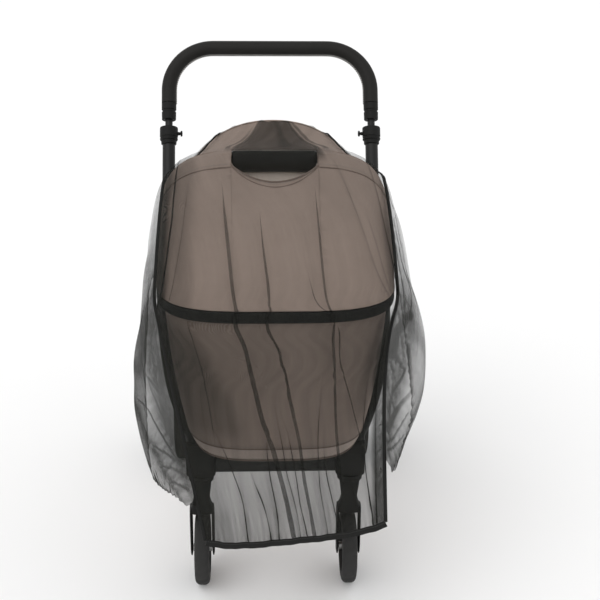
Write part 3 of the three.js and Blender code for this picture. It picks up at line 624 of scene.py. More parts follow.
# Pleats of the strip: the path of each through (level, place across), the two levels between which
# it is open, its width, how far it folds over itself, its lift and how much it darkens.
PLEATS = [
    ([(0.2, 0.335), (2.1, 0.323), (4.1, 0.328), (5.1, 0.36), (7, 0.425), (9, 0.453), (12, 0.45),
     (16, 0.43)], -2, 16, 13, 0.92, 6, 0.03),
    ([(0.2, 0.463), (2.1, 0.44), (4, 0.438), (6.6, 0.475), (9, 0.497), (11, 0.515), (16, 0.54)], -2, 15,
     11, 0.88, 6, 0.03),
    ([(0.2, 0.7), (3.1, 0.662), (4.7, 0.642), (7.3, 0.582), (10.1, 0.582), (12.1, 0.598), (16, 0.63)],
     1, 16, 11, 0.84, 5, 0.02),
    ([(2, 0.87), (3.3, 0.807), (4.5, 0.745), (6.2, 0.632), (9.9, 0.555), (12.8, 0.56)], 2, 13, 8, 0.75,
     4, 0.05),
    ([(0.3, 0.212), (1.3, 0.208), (2, 0.193), (3, 0.19)], -2, 2.8, 9, 0.6, 5, 0.24),
    ([(0.2, 0.253), (0.8, 0.265), (2.1, 0.27), (3.1, 0.297), (4.8, 0.37), (6, 0.41)], -2, 4.6, 7, 0.58,
     4, 0.24),
    ([(0.2, 0.375), (1, 0.372), (2.3, 0.356), (4.1, 0.39), (6, 0.44)], -2, 5, 6, 0.58, 4, 0.22),
    ([(0.4, 0.417), (1.2, 0.398), (2.3, 0.4), (3.8, 0.412)], -2, 4.6, 6, 0.58, 4, 0.22),
    ([(0.3, 0.552), (1.6, 0.532), (3.1, 0.54), (5, 0.56), (7, 0.56)], -2, 6, 6, 0.56, 3, 0.2),
    ([(0.3, 0.63), (1.3, 0.603), (2.1, 0.58), (4, 0.57)], -2, 3.8, 7, 0.6, 4, 0.22),
    ([(0.4, 0.787), (1.1, 0.76), (2, 0.74), (3, 0.73)], -2, 2.6, 6, 0.56, 4, 0.2),
    ([(0.3, 0.895), (1.8, 0.853), (3.4, 0.84), (6, 0.86)], -1, 6, 9, 0.62, 5, 0.26),
    ([(0.3, 0.93), (1.2, 0.925), (3.4, 0.932), (7, 0.945)], -1, 8, 9, 0.62, 5, 0.3),
    ([(0.3, 0.11), (1.5, 0.125), (3, 0.118), (4, 0.11)], -1, 4, 7, 0.5, 4, 0.16),
    ([(3, 0.09), (4.2, 0.13), (6.7, 0.225), (8.2, 0.28), (9, 0.3)], 2.6, 9.5, 7, 0.4, 3, 0.12),
    ([(8, 0.06), (9, 0.09), (10.3, 0.118), (12.5, 0.163), (13.5, 0.182), (14.8, 0.186), (18, 0.2)], 7.5,
     18.5, 10, 0.6, 5, 0.3),
    ([(9, 0.16), (11, 0.21), (13, 0.26), (16, 0.3)], 8.5, 16, 16, 0.3, 4, 0.12),
    ([(9, 0.985), (10.7, 0.965), (13.2, 0.905), (15.4, 0.878), (18, 0.85)], 8.5, 18, 8, 0.58, 5, 0.3),
    ([(9.4, 0.885), (10.4, 0.848), (11.4, 0.802), (14.4, 0.725), (17, 0.68)], 8.8, 16.5, 11, 0.55, 5,
     0.2),
    ([(9.2, 0.915), (10.4, 0.882), (12, 0.84), (14, 0.79)], 8.8, 14, 7, 0.5, 4, 0.16),
]


def read(path, value):
    """Second number of a table of pairs, read between its rows at a value of the first."""
    first, second = zip(*path)
    return np.interp(value, first, second)


def strip_grid(count):
    """Grid of the bare strip, the level of each of its rows and the place across of each point.
    A row's points crowd together about its pleats: their spacing is the inverse of a running sum."""
    grids, levels, columns = [], [], []
    even = np.linspace(0, 1, 801)
    for part in STRIP_PARTS:
        share = np.linspace(0, 1, part["rows"])[:, None]
        place = mixed(*part["place"], share)
        level = level_of(part["shape"], place)
        crowd = np.ones((part["rows"], len(even)))
        for path, begin, end, *_ in PLEATS:
            open_there = ease(level, begin - 2, begin) * (1 - ease(level, end, end + 2))
            crowd += 5 * open_there * np.exp(-((even - read(path, level)) / 0.017) ** 4)
        total = softened(crowd, 8).cumsum(1)
        total = (total - total[:, :1]) / (total[:, -1:] - total[:, :1])
        spread = np.array([np.interp(np.linspace(0, 1, count), row, even) for row in total])
        u = -1 + 2 * spread ** mixed(*part["drift"], share)
        grids.append(part["shape"](u, place + 0 * u))
        levels.append(level[:, 0])
        columns.append(spread)
    return softened(np.concatenate(grids), 6), np.concatenate(levels), softened(np.concatenate(columns), 6)


# Places where the cloth lies over itself, and two bands of painted shade on the left of the hood and
# of the tub: middle across, half-width, first and last level, how much it darkens and how crisp its
# sides are.
DOUBLED_AND_PAINTED_SHADE = [
    (0.05, 0.075, 8.2, 15.5, 0.42, 6),
    # partly doubled cloth, partly painted shade on the hood's left
    (0.15, 0.16, 8.6, 18.0, 0.15, 6),
    (0.0, 0.14, 14.0, 20.0, 0.25, 6),
    (0.94, 0.05, 9.2, 15.0, 0.2, 6),
    # painted shade on the tub's left, beside the seam
    (0.09, 0.15, 2.8, 8.8, 0.2, 6),
    (0.95, 0.05, -1.0, 8.8, 0.36, 6),
    (0.8, 0.12, -1.0, 3.4, -0.14, 6),
    (0.02, 0.04, -1.0, 4.0, 0.1, 6),
    (0.578, 0.1, 15.6, 24.0, 0.4, 20),
    (0.484, 0.011, 16.6, 23.0, 0.16, 8),
    (0.456, 0.01, 16.6, 22.0, 0.36, 8),
    (0.59, 0.012, 17.0, 23.0, 0.12, 4),
    (0.668, 0.01, 16.6, 23.0, 0.18, 8),
    (0.701, 0.012, 16.6, 23.0, 0.4, 8),
]


def pleated(points, levels, columns):
    """Lays the pleats into the strip. Across a pleat, t runs from -1 to 1 and the window is half of
    1 plus cosine of pi t. The cloth moves back sideways by the sine of pi t times the window, so it
    lies three times over itself, and lifts by half of 1 plus tanh of 3 t times the window."""
    sideways = unit(np.gradient(points, axis=1))
    out = outward(points)
    run = chart_of(points)[..., 0]
    shift, lift, dense = (np.zeros(run.shape) for _ in range(3))
    narrower = read([(8.4, 1), (10, 0.74)], levels)
    sheerer = read([(2.5, 0.2), (3, 0.15), (8, 0.15), (9.4, 0)], levels)
    for path, begin, end, width, fold, height, dark in PLEATS:
        place = softened(read(path, levels), 12)
        middle = np.array([np.interp(*row) for row in zip(place, columns, run)])[:, None]
        fade = min(3.5, 0.3 * (end - begin))
        length = (ease(levels, begin, begin + 1.2) * (1 - ease(levels, end - fade, end)))[:, None]
        wide = width * (0.6 + 0.4 * length) * narrower[:, None]
        t = np.clip((run - middle) / wide, -1, 1)
        window = 0.5 + 0.5 * np.cos(PI * t)
        shift -= length * fold * wide * np.sin(PI * t) * window
        lift += length * height * (0.5 + 0.5 * np.tanh(3 * t)) * window
        dense += length * (dark - ease(fold, 0.6, 0.8) * sheerer[:, None]) * window ** 2
    return points + shift[..., None] * sideways + lift[..., None] * out, dense


def net_centre():
    """Centre strip with pleats, gathers at the front hem and a slack rear."""
    points, levels, columns = strip_grid(460)
    seams = points[:, 0], points[:, -1]
    run, down = np.moveaxis(chart_of(points), -1, 0)
    level = levels[:, None]
    sides = np.minimum(columns, 1 - columns)
    margin = np.minimum(run - run[:, :1], run[:, -1:] - run)
    rim = ease(sides, 0, 0.05)
    hem = np.exp(-down / 40.0)
    slack = ripples(run, down, 5, (71.0, 43.0, 27.0), 5.0) * (0.4 + 0.9 * (1 - ease(level, 6, 9)))
    gathers = ripples(run, down, 9, (8.0, 12.0, 17.0), 6.0) * hem * 1.9
    rear = ripples(run, down, 3, (48.0, 29.0), 4.0) * ease(level, 19, 22) * 2.5
    ruffle = ripples(down + 0.6 * margin, margin, 13, (9.0, 14.0, 21.0), 1.0) * (
        1 - ease(margin, 5, 22)) * (1 - ease(level, 3.2, 5.0))
    waved = (slack + gathers + rear) * rim * ease(down, 0, 12) + 1.7 * ruffle * ease(margin, 0, 5)
    points = points + waved[..., None] * outward(points)
    points, dense = pleated(points, levels, columns)
    sheer = read([(0, 0.62), (1.2, 0.62), (2.4, 0.56), (3.3, 0.44), (5.6, 0.52), (8, 0.50), (8.9, 0.42),
                  (9.4, 0.30), (12, 0.28), (16, 0.30), (18, 0.24), (22, 0.24), (24, 0.4), (28, 0.42)],
                 level)
    # Painted shade: long soft bands of more and less cover darken what lies beneath, standing in for the
    # light and shade of soft folds.
    painted_fold_shade = ripples(run, down, 19, (27.0, 46.0, 80.0), 30.0)
    fine = ripples(run, down, 9, (8.0, 12.0), 6.0) * (1 + 6 * hem)
    density = sheer + 0.045 * painted_fold_shade + dense + 0.16 * ruffle + 0.018 * fine
    # Each band adds cover: doubled cloth, and painted shade on the hood's left and the tub's left.
    for middle, half, begin, end, dark, crisp in DOUBLED_AND_PAINTED_SHADE:
        across_band = np.exp(-((columns - middle) / half) ** crisp)
        along_band = ease(level, begin, begin + 1) * (1 - ease(level, end - 2, end))
        density = density + dark * across_band * along_band
    density = density + 0.5 * (1 - ease(margin, 0, 8))
    made = piece("net_centre_cloth", points, grid_faces(*points.shape[:2]), NET, ("net_centre",),
                 chart_of(points), np.clip(density, 0.05, 0.97), closed=False)
    return made, seams, levels


centre_cloth, seam_lines, seam_levels = net_centre()

# Side panels: level, the point that pulls the cloth out there and the elastic edge, with x away from
# the middle. Behind the bow both sides are alike.
REAR_PANEL = [
    (20.0, (228, 0, 776), (238, 10, 592)),
    (22.0, (224, 90, 772), (232, 100, 594)),
    (25.0, (226, 225, 730), (220, 232, 594)),
    (26.5, (204, 302, 690), (199, 303, 592)),
    (28.0, (160, 385, 640), (148, 378, 588)),
]
LEFT_PANEL = [
    (1.0, (154, -488, 308), (162, -483, 304)),
    (2.0, (196, -458, 346), (184, -450, 306)),
    (4.0, (268, -385, 440), (214, -375, 280)),
    (6.0, (306, -325, 500), (238, -305, 264)),
    (9.0, (290, -262, 560), (250, -238, 300)),
    (13.0, (260, -190, 690), (257, -170, 430)),
    (17.0, (246, -92, 770), (252, -75, 575)),
] + REAR_PANEL
RIGHT_PANEL = [
    (2.0, (199, -474, 370), (199, -474, 366)),
    (2.5, (212, -460, 378), (206, -462, 354)),
    (3.2, (230, -436, 402), (215, -440, 357)),
    (4.0, (262, -400, 430), (228, -393, 369)),
    (6.0, (318, -335, 500), (256, -305, 372)),
    (9.0, (318, -262, 560), (266, -238, 396)),
    (13.0, (275, -190, 690), (262, -165, 470)),
    (17.0, (242, -92, 770), (252, -75, 575)),
] + REAR_PANEL


# Creases of the side panels: the path of each through (level, place from the seam), its width, how
# far it stands up and how much it darkens.
LEFT_CREASES = [
    ([(12, 0.02), (8.7, 0.03), (6.6, 0.06), (5.4, 0.08), (4, 0.11), (3.1, 0.17)], 2.5, 3, 0.4),
    ([(11, 0.05), (8, 0.07), (6, 0.12), (4.6, 0.16), (3.4, 0.2)], 2.0, 2, 0.25),
    ([(5.4, 0.24), (4.7, 0.16), (4.1, 0.12), (3.5, 0.12), (2.7, 0.12)], 2.2, 3, 0.3),
    ([(5.6, 0.5), (4.5, 0.39), (3.8, 0.35), (3.1, 0.3), (2.4, 0.2)], 2.0, 4, 0.3),
    ([(3.7, 0.6), (3.1, 0.48), (2.6, 0.3), (2.2, 0.1)], 2.2, 3, 0.25),
    ([(3.2, 0.75), (2.6, 0.56), (2.2, 0.3), (1.9, 0.12)], 2.2, 3, 0.25),
    ([(2.6, 0.9), (2.2, 0.7), (1.8, 0.45), (1.5, 0.2)], 2.4, 3, 0.25),
    ([(7.5, 0.3), (6, 0.26), (4.8, 0.24), (3.9, 0.2)], 1.6, 2, 0.15),
    ([(9.5, 0.3), (8.4, 0.34), (7.4, 0.33)], 3.0, 2, 0.08),
]
RIGHT_CREASES = [
    ([(14, 0.1), (12.2, 0.14), (11, 0.24), (9, 0.18), (7.6, 0.16)], 2.2, 3, 0.3),
    ([(7.9, 0.16), (7.6, 0.12), (7.1, 0.09), (6.6, 0.05), (5.6, 0.04)], 7.5, 1.5, 0.75),
    ([(5.7, 0.05), (5.5, 0.13), (5.4, 0.21), (4.9, 0.18), (4.4, 0.11), (3.6, 0.08)], 2.4, 3, 0.4),
    ([(6.4, 0.2), (5.6, 0.27), (5, 0.41), (4.5, 0.33), (3.7, 0.2), (3, 0.1)], 5.0, 5, 0.25),
    ([(4.3, 0.49), (3.7, 0.41), (3, 0.3), (2.6, 0.1)], 2.4, 3, 0.25),
    ([(3.6, 0.6), (3.2, 0.5), (2.7, 0.35), (2.4, 0.15)], 2.4, 3, 0.25),
    ([(16, 0.12), (13, 0.2), (10.5, 0.33), (8.5, 0.3)], 2.0, 2, 0.18),
    ([(17, 0.03), (13, 0.05), (10, 0.08), (8, 0.08)], 3.0, 2, 0.3),
    ([(7.4, 0.3), (6.9, 0.33), (6.4, 0.31)], 1.6, 2, 0.15),
]


def near_path(points, levels, share, path):
    """Distance from every point of a panel's grid to a crease that runs through (level, place)."""
    spots = np.linspace(0, len(path) - 1, 70)
    place, reach = (np.interp(spots, range(len(path)), row) for row in zip(*path))
    rows = np.clip(np.searchsorted(levels, place), 0, len(levels) - 1)
    columns = np.clip(np.searchsorted(share, reach), 0, len(share) - 1)
    line = softened(points[rows, columns], 4)
    return np.linalg.norm(points[:, :, None] - line, axis=-1).min(-1)


def side_panel(side, table, creases, sheer_rows):
    """Side panel: at every level a quadratic curve from the seam by way of the pull to the edge,
    with (1 - t) squared, 2 t (1 - t) and t squared as its weights, gathered at the elastic edge."""
    rows = seam_levels >= table[0][0]
    levels = seam_levels[rows]
    seam = seam_lines[0 if side < 0 else 1][rows]
    known, *lines = zip(*table)
    pull, edge = (softened(np.stack([np.interp(levels, known, row) for row in zip(*line)], -1), 14)
                  * [side, 1, 1] for line in lines)
    share = np.linspace(0, 1, 180) ** 0.92
    t = share[None, :, None]
    points = (1 - t) ** 2 * seam[:, None] + 2 * t * (1 - t) * pull[:, None] + t * t * edge[:, None]
    out = outward(points) * -side
    down, run = np.moveaxis(chart_of(points), -1, 0)
    share, level = share[None], levels[:, None]
    front = 1 - ease(level, 14, 19)
    loose = np.sin(PI * share) * (0.25 + 0.75 * front)
    slack = ripples(run, down, 21 + side, (210.0, 140.0, 80.0), 2.0) * 2.4 * loose
    gathers = ripples(run, down, 41 + side, (21.0, 33.0, 15.0), 3.0) * ease(share, 0.75, 1.0) ** 1.5 * (
        0.8 + 1.5 * front)
    bunch = np.exp(-((level - 2.2) / 1.7) ** 2) * np.sin(PI * np.clip(share, 0.02, 1)) ** 0.5
    crumple = ripples(run + 0.4 * down, down, 51 + side, (15.0, 24.0, 10.0), 1.6) * bunch
    near = (1 - ease(share, 0.1, 0.3)) * ease(level, 2, 3) * (1 - ease(level, 8, 11))
    zigzag = ripples(down + 0.8 * run, run, 71 + side, (13.0, 21.0, 8.5), 1.2) * near
    lift, dark = (np.zeros(down.shape) for _ in range(2))
    for path, wide, height, darker in creases:
        distance = near_path(points, levels, share[0], path) / wide
        lift += height * np.exp(-(distance / 1.6) ** 2)
        dark += darker * np.exp(-distance ** 4)
    raised = slack + gathers + 2.2 * crumple + 1.5 * zigzag * ease(share, 0.01, 0.06) + lift
    points = points + raised[..., None] * out
    turn = np.abs(np.abs(points[..., 0]) - np.abs(points[..., 0]).max(1, keepdims=True))
    silhouette = np.exp(-turn / 0.9) * ease(share, 0.2, 0.4)
    inner = 1 - ease(share, 0.14, 0.4)
    known, outer_sheer, inner_sheer = zip(*sheer_rows)
    density = mixed(np.interp(level, known, outer_sheer), np.interp(level, known, inner_sheer), inner)
    density = density + dark + 0.22 * bunch + 0.12 * crumple + 0.25 * silhouette + 0.08 * near + 0.1 * zigzag
    density = density + 0.35 * ease(share, 0.955, 1.0) + 0.3 * (1 - ease(share, 0.0, 0.03))
    density = density + 0.03 * ripples(run, down, 61 + side, (17.0, 29.0), 3.0)
    name = "left" if side < 0 else "right"
    made = piece(f"net_side_{name}_cloth", points, grid_faces(*points.shape[:2]), NET,
                 (f"net_side_{name}",), chart_of(points), np.clip(density, 0.04, 0.97), closed=False)
    return made


# How closely the panels cover: level, then towards the edge and towards the seam.
left_cloth = side_panel(-1, LEFT_PANEL, LEFT_CREASES, [
    (1, 0.5, 0.7), (4, 0.62, 0.88), (8, 0.62, 0.88), (11, 0.52, 0.78), (14, 0.3, 0.55), (17, 0.14, 0.3),
    (28, 0.14, 0.16)])
right_cloth = side_panel(1, RIGHT_PANEL, RIGHT_CREASES, [
    (1, 0.5, 0.6), (4, 0.46, 0.78), (6, 0.4, 0.8), (9, 0.36, 0.76), (12, 0.26, 0.6), (14, 0.16, 0.5),
    (17, 0.08, 0.25), (28, 0.14, 0.16)])


def bindings():
    """Tape folded over each seam: a flattened ring carried along it, thinner behind the bow."""
    for side, name in enumerate(("left", "right")):
        path = evenly(seam_lines[side], 4.0)
        waver = 0.5 * np.sin(np.arange(len(path)) * 0.9) + 0.3 * np.sin(np.arange(len(path)) * 0.37)
        path = path + xyz(0, waver * 0.4, waver)
        behind = ease(path[:, 1], BOW["y"] - 20, BOW["y"] + 10) * ease(path[:, 2], 700, 760)
        carried(f"seam_tape_{name}", path, circle(14, 3.2, 2.2), (1.0, 0.0, 0.15), TAPE,
                (f"binding_{name}",), 1 - 0.4 * behind)


def hem_band():
    """Band along the front hem: a flat rounded ring carried from seam to seam, slightly wavy."""
    u = np.linspace(-1, 1, 120)
    x = mixed(HEM["left"], HEM["right"], (u + 1) / 2)
    z = HEM["z"] + HEM["tilt"] * u + HEM["lift"] * u ** 4 + 5.2
    y = HEM["y"] + 0.9 * np.sin(u * 19) + 0.5 * np.sin(u * 41)
    path = xyz(x, y, z)
    band = carried("front_hem_band", path, rounded_box(6.6, 2.0, 1.6, 24), (0.0, 0.0, 1.0), TAPE,
                   ("hem_band",))
    stitches("hem_stitches", path + [0, -2.1, 4.4], (0, -1, 0), DARK_THREAD, 4.2, 3.0, 0.45)
    return band


bindings()
band = hem_band()


# Carrycot

def hood():
    """Hood cloth in two shells, before and behind the bow, with its seams and the hand hole."""
    sides = mixed(HOOD_START, float(bow_angle(-HOLE["half"])), np.linspace(0, 1, 44) ** 1.9)
    inside = bow_angle(np.linspace(-HOLE["half"] + 0.6, HOLE["half"] - 0.6, 46))
    angles = np.concatenate([sides, inside, (PI - sides)[::-1]])
    hole = slice(len(sides), len(sides) + len(inside))
    in_hole = hole_share(angles) > 0.001
    share = hole_share(angles) ** 0.7
    top = 1 - in_hole * (HOLE["side"] + (HOLE["dip"] - HOLE["side"]) * share)
    lean = np.linspace(0, 1, 70)[:, None] * top[None]
    points = hood_front(angles[None], lean, 0.0)
    run, down = np.moveaxis(chart_of(points), -1, 0)
    dents = ripples(run, down, 61, (190.0, 120.0, 75.0), 1.5) * 1.3 * np.sin(PI * lean) ** 0.5
    points = points - np.abs(dents)[..., None] * outward(points)
    shell("hood_front_cloth", points, 2.4, CLOTH, ("hood_front",))
    start = REAR_EDGE / (DOME["y"] - BOW["y"]) * in_hole + 0.003
    back = mixed(start[None], 1.0, np.linspace(0, 1, 40)[:, None])
    points = hood_rear(angles[None], back, 0.0)
    shell("hood_rear_cloth", points, 2.4, CLOTH, ("hood_rear",))

    front_edge = hood_front(inside, top[hole], -1.2)
    rear_edge = hood_rear(inside, start[hole], -1.2)
    run = np.linspace(0, 1, 30)[:, None]
    sag = 46 * 4 * run * (1 - run) * np.minimum(1, 3 * hole_share(inside)) ** 0.5
    pocket = mixed(front_edge, rear_edge, run[..., None]) - xyz(0, 0, sag)
    # The pocket is light lining: partly the lining's own lighter tone, partly painted light, so the crescent
    # under the grip stays light in the grip's shade.
    shell("hand_hole_pocket", pocket, 1.2, LINING)
    crest = hood_rear(angles, np.ones(len(angles)), -0.6)
    carried("hood_crest_binding", crest, rounded_box(3.4, 2.4, 1.6, 16), (0, 1.0, 0), SEAM_CLOTH)
    edge = hood_front(inside, top[hole], 0.4)
    carried("hand_hole_piping", edge, circle(10, 1.7), (0, 0, 1.0), SEAM_CLOTH)
    lower = 1 - (HOLE["side"] + 0.006 + (HOLE["dip"] + 0.022 - HOLE["side"]) * share[hole])
    facing = hood_front(inside, lower, 0.3)
    carried("hand_hole_facing_seam", facing, circle(8, 0.8), (0, 0, 1.0), SEAM_CLOTH)
    stitches("hand_hole_stitches", mixed(edge, facing, 0.35) + [0, -0.4, 0.6], (0, -0.6, 0.8), THREAD,
             5.0, 3.2, 0.4)
    for name, part in (("left", sides[12:]), ("right", (PI - sides[12:])[::-1])):
        seam = hood_front(part, 0.8, 0.3)
        carried(f"bow_casing_seam_{name}", seam, circle(8, 1.2), (0, 0, 1.0), SEAM_CLOTH)
        stitches(f"bow_casing_stitches_{name}", hood_front(part, 0.825, 0.4), (0, -0.6, 0.8), THREAD,
                 5.0, 3.2, 0.4)


def bow():
    """Sleeve of the carry bow: a flat crowned ring carried up each side of the arch to the grip."""
    stop = float(bow_angle(-GRIP["half"] - 1.0))
    for name, mirror in (("left", 1), ("right", -1)):
        angle = mixed(HOOD_START, stop, np.linspace(0, 1, 60) ** 1.9)
        path = xyz(mirror * (BOW["half"] - 3) * across(angle, BOW["power"]), BOW["y"],
                   HOOD_FOOT + (BOW["height"] - 3) * rise(angle, BOW["power"]))
        gathered = 1 + 0.8 * ease(np.linspace(0, 1, 60), 0.93, 1.0)
        carried(f"bow_sleeve_{name}", path, rounded_box(11.2, 3.1, 2.4, 28), (0, 1.0, 0), CLOTH,
                (f"hood_bow_{name}",), gathered)


def grip():
    """Carry grip: leather rolled round the bow, drawn in at its ends, with a sewn seam beneath and a
    cloth cuff round the bow beside each end."""
    place = np.array([-1, -0.995, -0.975, -0.94, *np.linspace(-0.9, 0.9, 40), 0.94, 0.975, 0.995, 1])
    girth = np.array([0.8, 0.9, 0.97, 1.0, *(1 + 0.012 * np.sin(np.linspace(0, 9, 40))), 1.0, 0.97,
                      0.9, 0.8])
    path = xyz(place * GRIP["half"], BOW["y"], GRIP["z"])
    carried("carry_grip", path, circle(56, GRIP["radius"], GRIP["radius"] - 0.6), (0, 1.0, 0), LEATHER,
            ("grip",), girth)
    for name, side in (("left", -1), ("right", 1)):
        turned(f"grip_cuff_{name}", (side * (GRIP["half"] + 0.3), BOW["y"], GRIP["z"] - 1), (side, 0, 0),
               [(0, 0), (0, 17.4), (0.6, 18.2), (2.4, 18.2), (3.0, 17.4), (3.0, 0)], CLOTH)
    seam = xyz(np.linspace(-0.93, 0.93, 60) * GRIP["half"], BOW["y"] - 15.6, GRIP["z"] - 14.4)
    stitches("grip_stitches", seam, (0, -0.7, -0.7), DARK_THREAD, 4.5, 3.2, 0.5)


# Rows of the tub from the base up: height, inset from the widest plan, and how the ends shrink.
TUB = [
    (330, 100, -50),
    (331.5, 90, -40),
    (336, 76, -27),
    (342, 66, -19),
    (350, 58, -14),
    (378, 48, -7),
    (430, 36, -4),
    (520, 22, 0),
    (628, 12, 0),
    (645.5, 8, 0),
]


def tub_wall(heights, angle, grow=0.0):
    """Wall of the tub at heights: the cot's plan drawn in by the table's inset, read smoothly."""
    known, insets, noses = zip(*TUB)
    inset = np.interp(heights, known, insets)[:, None] - grow
    nose = np.interp(heights, known, noses)[:, None]
    return cot_plan(angle[None], heights[:, None], COT_HALF_WIDTH - inset, NOSE["reach"] + nose - 6 + grow,
                    FOOT["reach"] + nose - inset)


def tub():
    """Tub: outer wall from the middle of the base over the rim and down inside to the floor."""
    around, floor_z, seam_z = 240, 346.0, 372.0
    angle = np.arange(around) / around * 2 * PI
    out_z = np.concatenate([[330, 331.5, 336, 342], np.linspace(350, 645.5, 56)])
    outer = softened(tub_wall(out_z, angle), 2)
    down = np.linspace(0, 1, len(out_z))[:, None]
    run = angle[None] * 180
    soft = ripples(run, out_z[:, None], 71, (160.0, 95.0), 1.0) * np.sin(PI * down)
    outer = outer + soft[..., None] * unit(outer * [1, 1, 0] + [0, -60, 0])
    in_z = np.linspace(645.5, floor_z, 30)
    inner = tub_wall(in_z, angle, -9.0)
    base = np.repeat(outer[:1].mean(1, keepdims=True), around, 1)
    floor = np.repeat(inner[-1:].mean(1, keepdims=True), around, 1)
    points = np.concatenate([base, mixed(base, outer[:1], 0.6), outer, inner, floor])
    chart = pairs(run, np.arange(len(points))[:, None] * 5.0)
    made = piece("tub_cloth", points, grid_faces(*points.shape[:2], round_columns=True), CLOTH,
                 ("cot_tub",), chart, sharp=60, merge=True)
    made.data.materials.append(LINING)
    made.data.materials.append(BASE_CLOTH)
    centre, normal = (np.zeros(3 * len(made.data.polygons)) for _ in range(2))
    made.data.polygons.foreach_get("center", centre)
    made.data.polygons.foreach_get("normal", normal)
    centre, normal = centre.reshape(-1, 3), normal.reshape(-1, 3)
    inward = ((centre - OFFSET / 1000) * normal * [1, 1, 0]).sum(1) < 0
    floor_side = (centre[:, 2] < floor_z / 1000 + 0.002) & (normal[:, 2] > 0.9)
    below = centre[:, 2] < seam_z / 1000
    kind = np.where(inward | floor_side, 1, np.where(below, 2, 0))
    made.data.polygons.foreach_set("material_index", kind.astype(np.int32))
    for name, z, thick in (("base_piping", 345.0, 1.4), ("base_seam", seam_z, 1.0)):
        ring = tub_wall(np.array([z]), np.arange(around + 1) / around * 2 * PI, 0.4)[0]
        carried(name, ring, circle(10, thick), (0, 0, 1.0), SEAM_CLOTH, ends=False)
    ring = tub_wall(np.array([seam_z + 5]), np.linspace(0, 2 * PI, around), 0.6)[0]
    stitches("base_stitches", ring, unit(ring * [1, 1, 0]), THREAD, 5.5, 3.4, 0.4)


def rim_band():
    """Webbing round the rim: a flat rounded ring carried round the cot's plan."""
    inset = 2.8
    ring = cot_plan(np.arange(361) / 360 * 2 * PI, RIM_TOP - 11, COT_HALF_WIDTH - inset,
                    NOSE["reach"] - inset, FOOT["reach"] - inset)
    ring = np.concatenate([ring[:-1], ring[:1]])
    out = unit(np.cross(np.gradient(ring, axis=0), [0, 0, 1.0]))
    carried("rim_webbing", ring, rounded_box(10.9, 2.7, 1.8, 24), (0, 0, 1.0), WEBBING,
            ("rim_band",), ends=False)
    for name, z in (("upper", 8.2), ("lower", -8.2)):
        stitches(f"rim_stitches_{name}", ring + 2.9 * out + [0, 0, z], out, DARK_THREAD,
                 4.5, 3.2, 0.4)


hood()
bow()
grip()
tub()
rim_band()


# Chassis

def on_push(x, distance):
    """Point of the push bar's plane: up the slope from its foot."""
    return xyz(x, PUSH_FOOT["y"] + distance * math.cos(PUSH_SLOPE),
               PUSH_FOOT["z"] + distance * math.sin(PUSH_SLOPE))


UP_SLOPE = np.array([0, math.cos(PUSH_SLOPE), math.sin(PUSH_SLOPE)])
OFF_SLOPE = np.array([0, -math.sin(PUSH_SLOPE), math.cos(PUSH_SLOPE)])


def push_bar():
    """Push bar: a ring carried up, round two quarter bends and down, sleeved in leather, with the
    sewn seam of the sleeve along its inner side."""
    begin = PUSH_STOPS["collar"] + 0.3
    top = (PUSH_BAR["top"] - PUSH_FOOT["z"]) / math.sin(PUSH_SLOPE)
    bend, centre = PUSH_BAR["bend"], TUBE_X - PUSH_BAR["bend"]
    turn = np.linspace(0, PI / 2, 34)
    bend_x, bend_run = centre + bend * np.cos(turn), top - bend + bend * np.sin(turn)
    x = np.concatenate([[-TUBE_X, -TUBE_X], -bend_x, np.linspace(-centre, centre, 24)[1:-1],
                        bend_x[::-1], [TUBE_X, TUBE_X]])
    run = np.concatenate([[begin, begin + 10], bend_run, [top] * 22, bend_run[::-1],
                          [begin + 10, begin]])
    path = on_push(x, run)
    carried("push_bar_sleeve", path, circle(40, PUSH_BAR["radius"]), OFF_SLOPE, LEATHER,
            ("push_bar",))
    inward = unit(np.cross(np.gradient(path, axis=0), OFF_SLOPE))
    inward = inward * np.sign((inward * (on_push(0.0, top - bend) - path)).sum(-1, keepdims=True))
    for name, lean in (("front", 0.2), ("rear", -0.2)):
        line = path + (PUSH_BAR["radius"] + 0.5) * unit(inward + lean * OFF_SLOPE)
        stitches(f"push_bar_stitches_{name}", line, inward, THREAD, 5.0, 4.2, 1.2)


